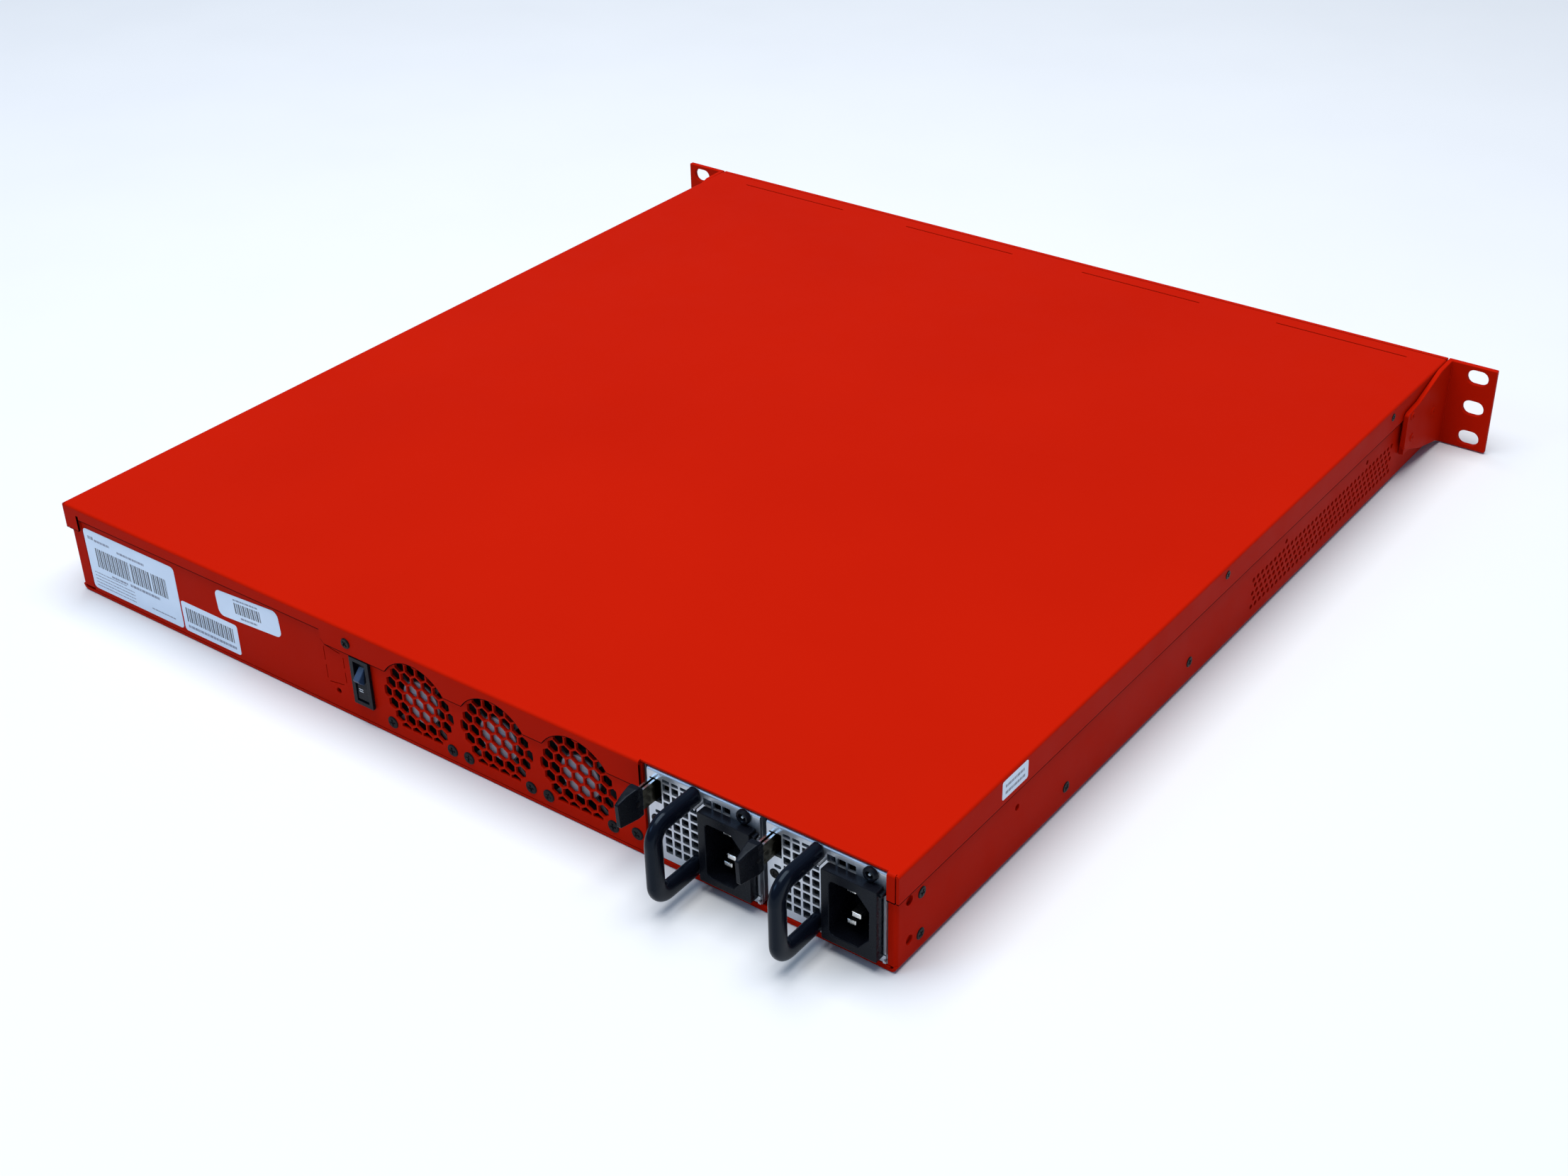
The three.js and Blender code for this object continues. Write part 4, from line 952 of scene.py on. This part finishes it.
def lamp(n):
    """A deep black bezel with a small clear lens at its bottom."""
    _, (ya, yb), (za, zb) = box_mm(f"psu{n}_status_lamp")
    centre = (LAMP_X[n], 0, (za + zb) / 2)
    bezel = Builder()
    bezel.lathe([(2.85, REAR - 0.1), (2.85, yb - 1.1), (2.45, yb - 0.55), (1.7, yb - 0.45), (1.35, yb - 0.8),
                 (1.25, REAR - 0.1)], "Y", centre, 32)
    bezel.piece(f"psu{n}_lamp_bezel", f"psu{n}", "handle_black", "plastic", [f"psu{n}_status_lamp"], smooth=35)
    lens = Builder()
    dome = [(0.55 * math.cos(a), yb - 1.2 + 0.5 * math.sin(a)) for a in (math.radians(15 * i) for i in range(6))]
    lens.lathe([(0.55, ya)] + dome + [(0.05, yb - 0.7)], "Y", centre, 28)
    lens.piece(f"psu{n}_lamp_lens", f"psu{n}", "light_pipe", "lamp", smooth=40)


def supply_kind(x0):
    """0 for a supply's board and socket edge, 2 for its windings and 1 for its other components."""
    return lambda c: 0 if c[2] < 6.8 or c[0] < x0 - 44.5 else (2 if c[1] > REAR - 75 or c[0] > x0 - 10 else 1)


for n in (1, 2):
    x0 = box_mm(f"psu{n}_case")[0][1]
    end_plate(n, x0)
    handle(n)
    inlet(n, x0)
    latch(n, x0)
    lamp(n)
    refine(f"psu{n}_case", "zinc", 0.25, 2, name=f"psu{n}_housing")
    refine(f"psu{n}_board", ["board", "chip", "winding"], 0.4, 2, name=f"psu{n}_circuit", pick=supply_kind(x0))
    fan(f"psu{n}_fan", f"psu{n}", f"psu{n}_fan", 9)

# ---- Inside the chassis ----
gap = Builder()  # the middle wall of the bay ends short of the rear
gap.block((BAY[0] + 49.5, BAY[0] + 54.5), (REAR - 14, REAR), (0, TOP))
refine("supply_cage", "zinc", 0, name="bay_walls", cutter=gap)
face_y = box_mm("power_distribution_board")[1][0]
refine("power_distribution_board", ["board", "chip"], 0.2, 2, name="bay_backplane",
       pick=lambda c: 0 if c[1] < face_y + 1.7 else 1)
board_z = box_mm("main_board")[2][0]
refine("main_board", ["board", "chip"], 0.15, 2, name="main_circuit",
       pick=lambda c: 0 if board_z - 0.1 <= c[2] <= board_z + 1.75 else 1)
refine("processor_heat_sink", "aluminium", 0.25, 2, name="heat_sink")
for i in (1, 2):
    middle = sum(box_mm(f"memory_module_{i}")[1]) / 2
    refine(f"memory_module_{i}", ["board", "chip"], 0.15, 2, name=f"memory_stick_{i}",
           pick=lambda c, middle=middle: 0 if abs(c[1] - middle) < 0.8 else 1)
refine("storage_drive", "aluminium", 0.6, 3, name="drive")

# ---- Front ----
board_y = box_mm("display_board")[1][1]
refine("display_board", ["board", "screen", "chip"], 0.15, 2, name="display_circuit",
       pick=lambda c: 0 if c[1] > board_y - 1.8 else (1 if c[0] < -110 else 2))
refine("display_window", "glass", 0.25, 2, name="display_cover")
for key in ("up", "down", "left", "right"):
    (xa, xb), (ya, _), (za, zb) = box_mm(f"key_{key}")
    cx, cz = (xa + xb) / 2, (za + zb) / 2
    turn = {"up": 90, "down": 270, "left": 180, "right": 0}[key]
    groove, mark = Builder(), Builder()  # the mark lies just under the key's face
    groove.plate([ring(cx, cz, 1.5, 3, math.radians(turn))], "Y", ya - 0.5, ya + 0.1)
    refine(f"key_{key}", "key", 0.7, 3, name=f"{key}_key_cap", cutter=groove)
    mark.plate([ring(cx, cz, 1.45, 3, math.radians(turn))], "Y", ya + 0.02, ya + 0.2)
    mark.piece(f"{key}_key_mark", f"{key}_key", "light_pipe", "white_ink", smooth=None)
for node, name in (("network_jack_block", "jack_shell"), ("console_jack", "console_shell"),
                   ("usb_sockets", "usb_shell"), ("sfp_cage", "transceiver_cage")):
    refine(node, "aluminium" if node == "sfp_cage" else "zinc", 0.25, 2, name=name)


def jack_contacts(name, mouths):
    """Eight sprung wires in each modular jack."""
    builder = Builder()
    for x, z, side in mouths:
        for i in range(8):
            u = x - 3.57 + 1.02 * i
            w = z - side * 3.3
            wire = [(FACE + 9.5, w + side * 1.9), (FACE + 9.8, w + side * 2.1), (FACE + 4.2, w + side * 0.55),
                    (FACE + 3.9, w + side * 0.3)]
            builder.prism(wire, "X", *about(u, 0.4))
    builder.piece(name, "chassis", "pin_brass", "gold", smooth=None, merge=0)


jack_box = box_mm("network_jack_block")
pitch = (jack_box[0][1] - jack_box[0][0] - 1.4) / 4
mid_x, mid_z = sum(jack_box[0]) / 2, sum(jack_box[2]) / 2
mouths = [(mid_x + (c - 1.5) * pitch, mid_z + side * 5.8, side) for c in range(4) for side in (-1, 1)]
jack_contacts("jack_contacts", mouths)
console = box_mm("console_jack")
jack_contacts("console_contacts", [(sum(console[0]) / 2, sum(console[2]) / 2 - 0.6, 1)])
usb = box_mm("usb_sockets")
tongues = Builder()
for step in (-0.5, 0.5):
    z = sum(usb[2]) / 2 + step * 7.4
    tongues.block(about(sum(usb[0]) / 2, 11), (FACE + 1.6, FACE + 12.1), (z + 0.7, z + 2.4))
    for i in range(4):
        u = sum(usb[0]) / 2 - 3.6 + 2.4 * i
        tongues.block(about(u, 1.1), (FACE + 2.2, FACE + 9), (z + 0.6, z + 0.75), 1)
mesh = bevelled(tongues.mesh("tongues"), 0.12, 2)
finish_piece("usb_tongues", mesh, "chassis", ["tongue", "gold"], (), 30)
refine("status_lights", "lamp", 0.3, 3, name="light_pipes")

# ---- Underside: pressed-in standoffs ----
studs = Builder()
for x in (-92, 40, 196):
    for y in (FRONT + 20, -60, 90, REAR - 50):
        studs.lathe([(2.9, 0.3), (2.9, 0.06), (2.6, 0.0), (1.4, 0.0), (1.2, 0.25)], "Z", (x, y, 0), 28)
studs.piece("standoff_feet", "chassis", "galvanised_steel", "zinc", smooth=30)


# ---- Setting: floor, light and camera ----
floor_material, tree, shader, coords = new_material("pale_floor")
floor_colour = blend(tree, noise(tree, coords, 1.5), (0.67, 0.67, 0.675), (0.71, 0.71, 0.715))
tree.links.new(floor_colour, shader.inputs["Base Color"])
tree.links.new(ramp(tree, noise(tree, coords, 12), 0.75, 0.9), shader.inputs["Roughness"])
floor_mesh = bpy.data.meshes.new("floor")
floor_mesh.from_pydata([(-9, -9, -0.0004), (9, -9, -0.0004), (9, 9, -0.0004), (-9, 9, -0.0004)], [], [(0, 1, 2, 3)])
floor_mesh.materials.append(floor_material)
floor = bpy.data.objects.new("floor", floor_mesh)
bpy.context.scene.collection.objects.link(floor)

world = bpy.data.worlds.new("studio")
world.use_nodes = True
world.node_tree.nodes["Background"].inputs["Color"].default_value = (0.45, 0.68, 1.0, 1)
world.node_tree.nodes["Background"].inputs["Strength"].default_value = 0.35
bpy.context.scene.world = world


def area_light(name, place_m, target, size, power, color=(1, 1, 1)):
    """A rectangular light aimed at a point, in metres and watts."""
    data = bpy.data.lights.new(name, "AREA")
    data.shape = "RECTANGLE"
    data.size, data.size_y = size
    data.energy = power
    data.color = color
    light = bpy.data.objects.new(name, data)
    light.location = place_m
    light.rotation_euler = (Vector(target) - Vector(place_m)).to_track_quat("-Z", "Y").to_euler()
    bpy.context.scene.collection.objects.link(light)


area_light("overhead", (0.0, 0.1, 2.0), (0, 0, 0), (1.8, 1.8), 62)
area_light("fill", (1.1, 1.7, 1.45), (0, 0.15, 0), (0.8, 0.7), 9, (0.42, 0.66, 1))

# ---- Camera, behind and above: azimuth 0 looks from -Y, and angles are in degrees ----
CAMERA_PLACE = (-0.5175, 0.6736, 0.49786)
CAMERA_AZIMUTH, CAMERA_ELEVATION, CAMERA_ROLL = 217.273, 32.174, -1.362
camera_data = bpy.data.cameras.new("camera")
camera_data.lens = 49.27
camera_data.sensor_width = 36
camera_data.clip_start = 0.01
camera = bpy.data.objects.new("camera", camera_data)
turned = Matrix.Rotation(math.radians(CAMERA_AZIMUTH), 4, "Z")
tilted = Matrix.Rotation(math.radians(90 - CAMERA_ELEVATION), 4, "X")
rolled = Matrix.Rotation(math.radians(CAMERA_ROLL), 4, "Z")
camera.matrix_world = Matrix.Translation(CAMERA_PLACE) @ turned @ tilted @ rolled
bpy.context.scene.collection.objects.link(camera)
bpy.context.scene.camera = camera
bpy.context.scene.view_settings.view_transform = "Standard"
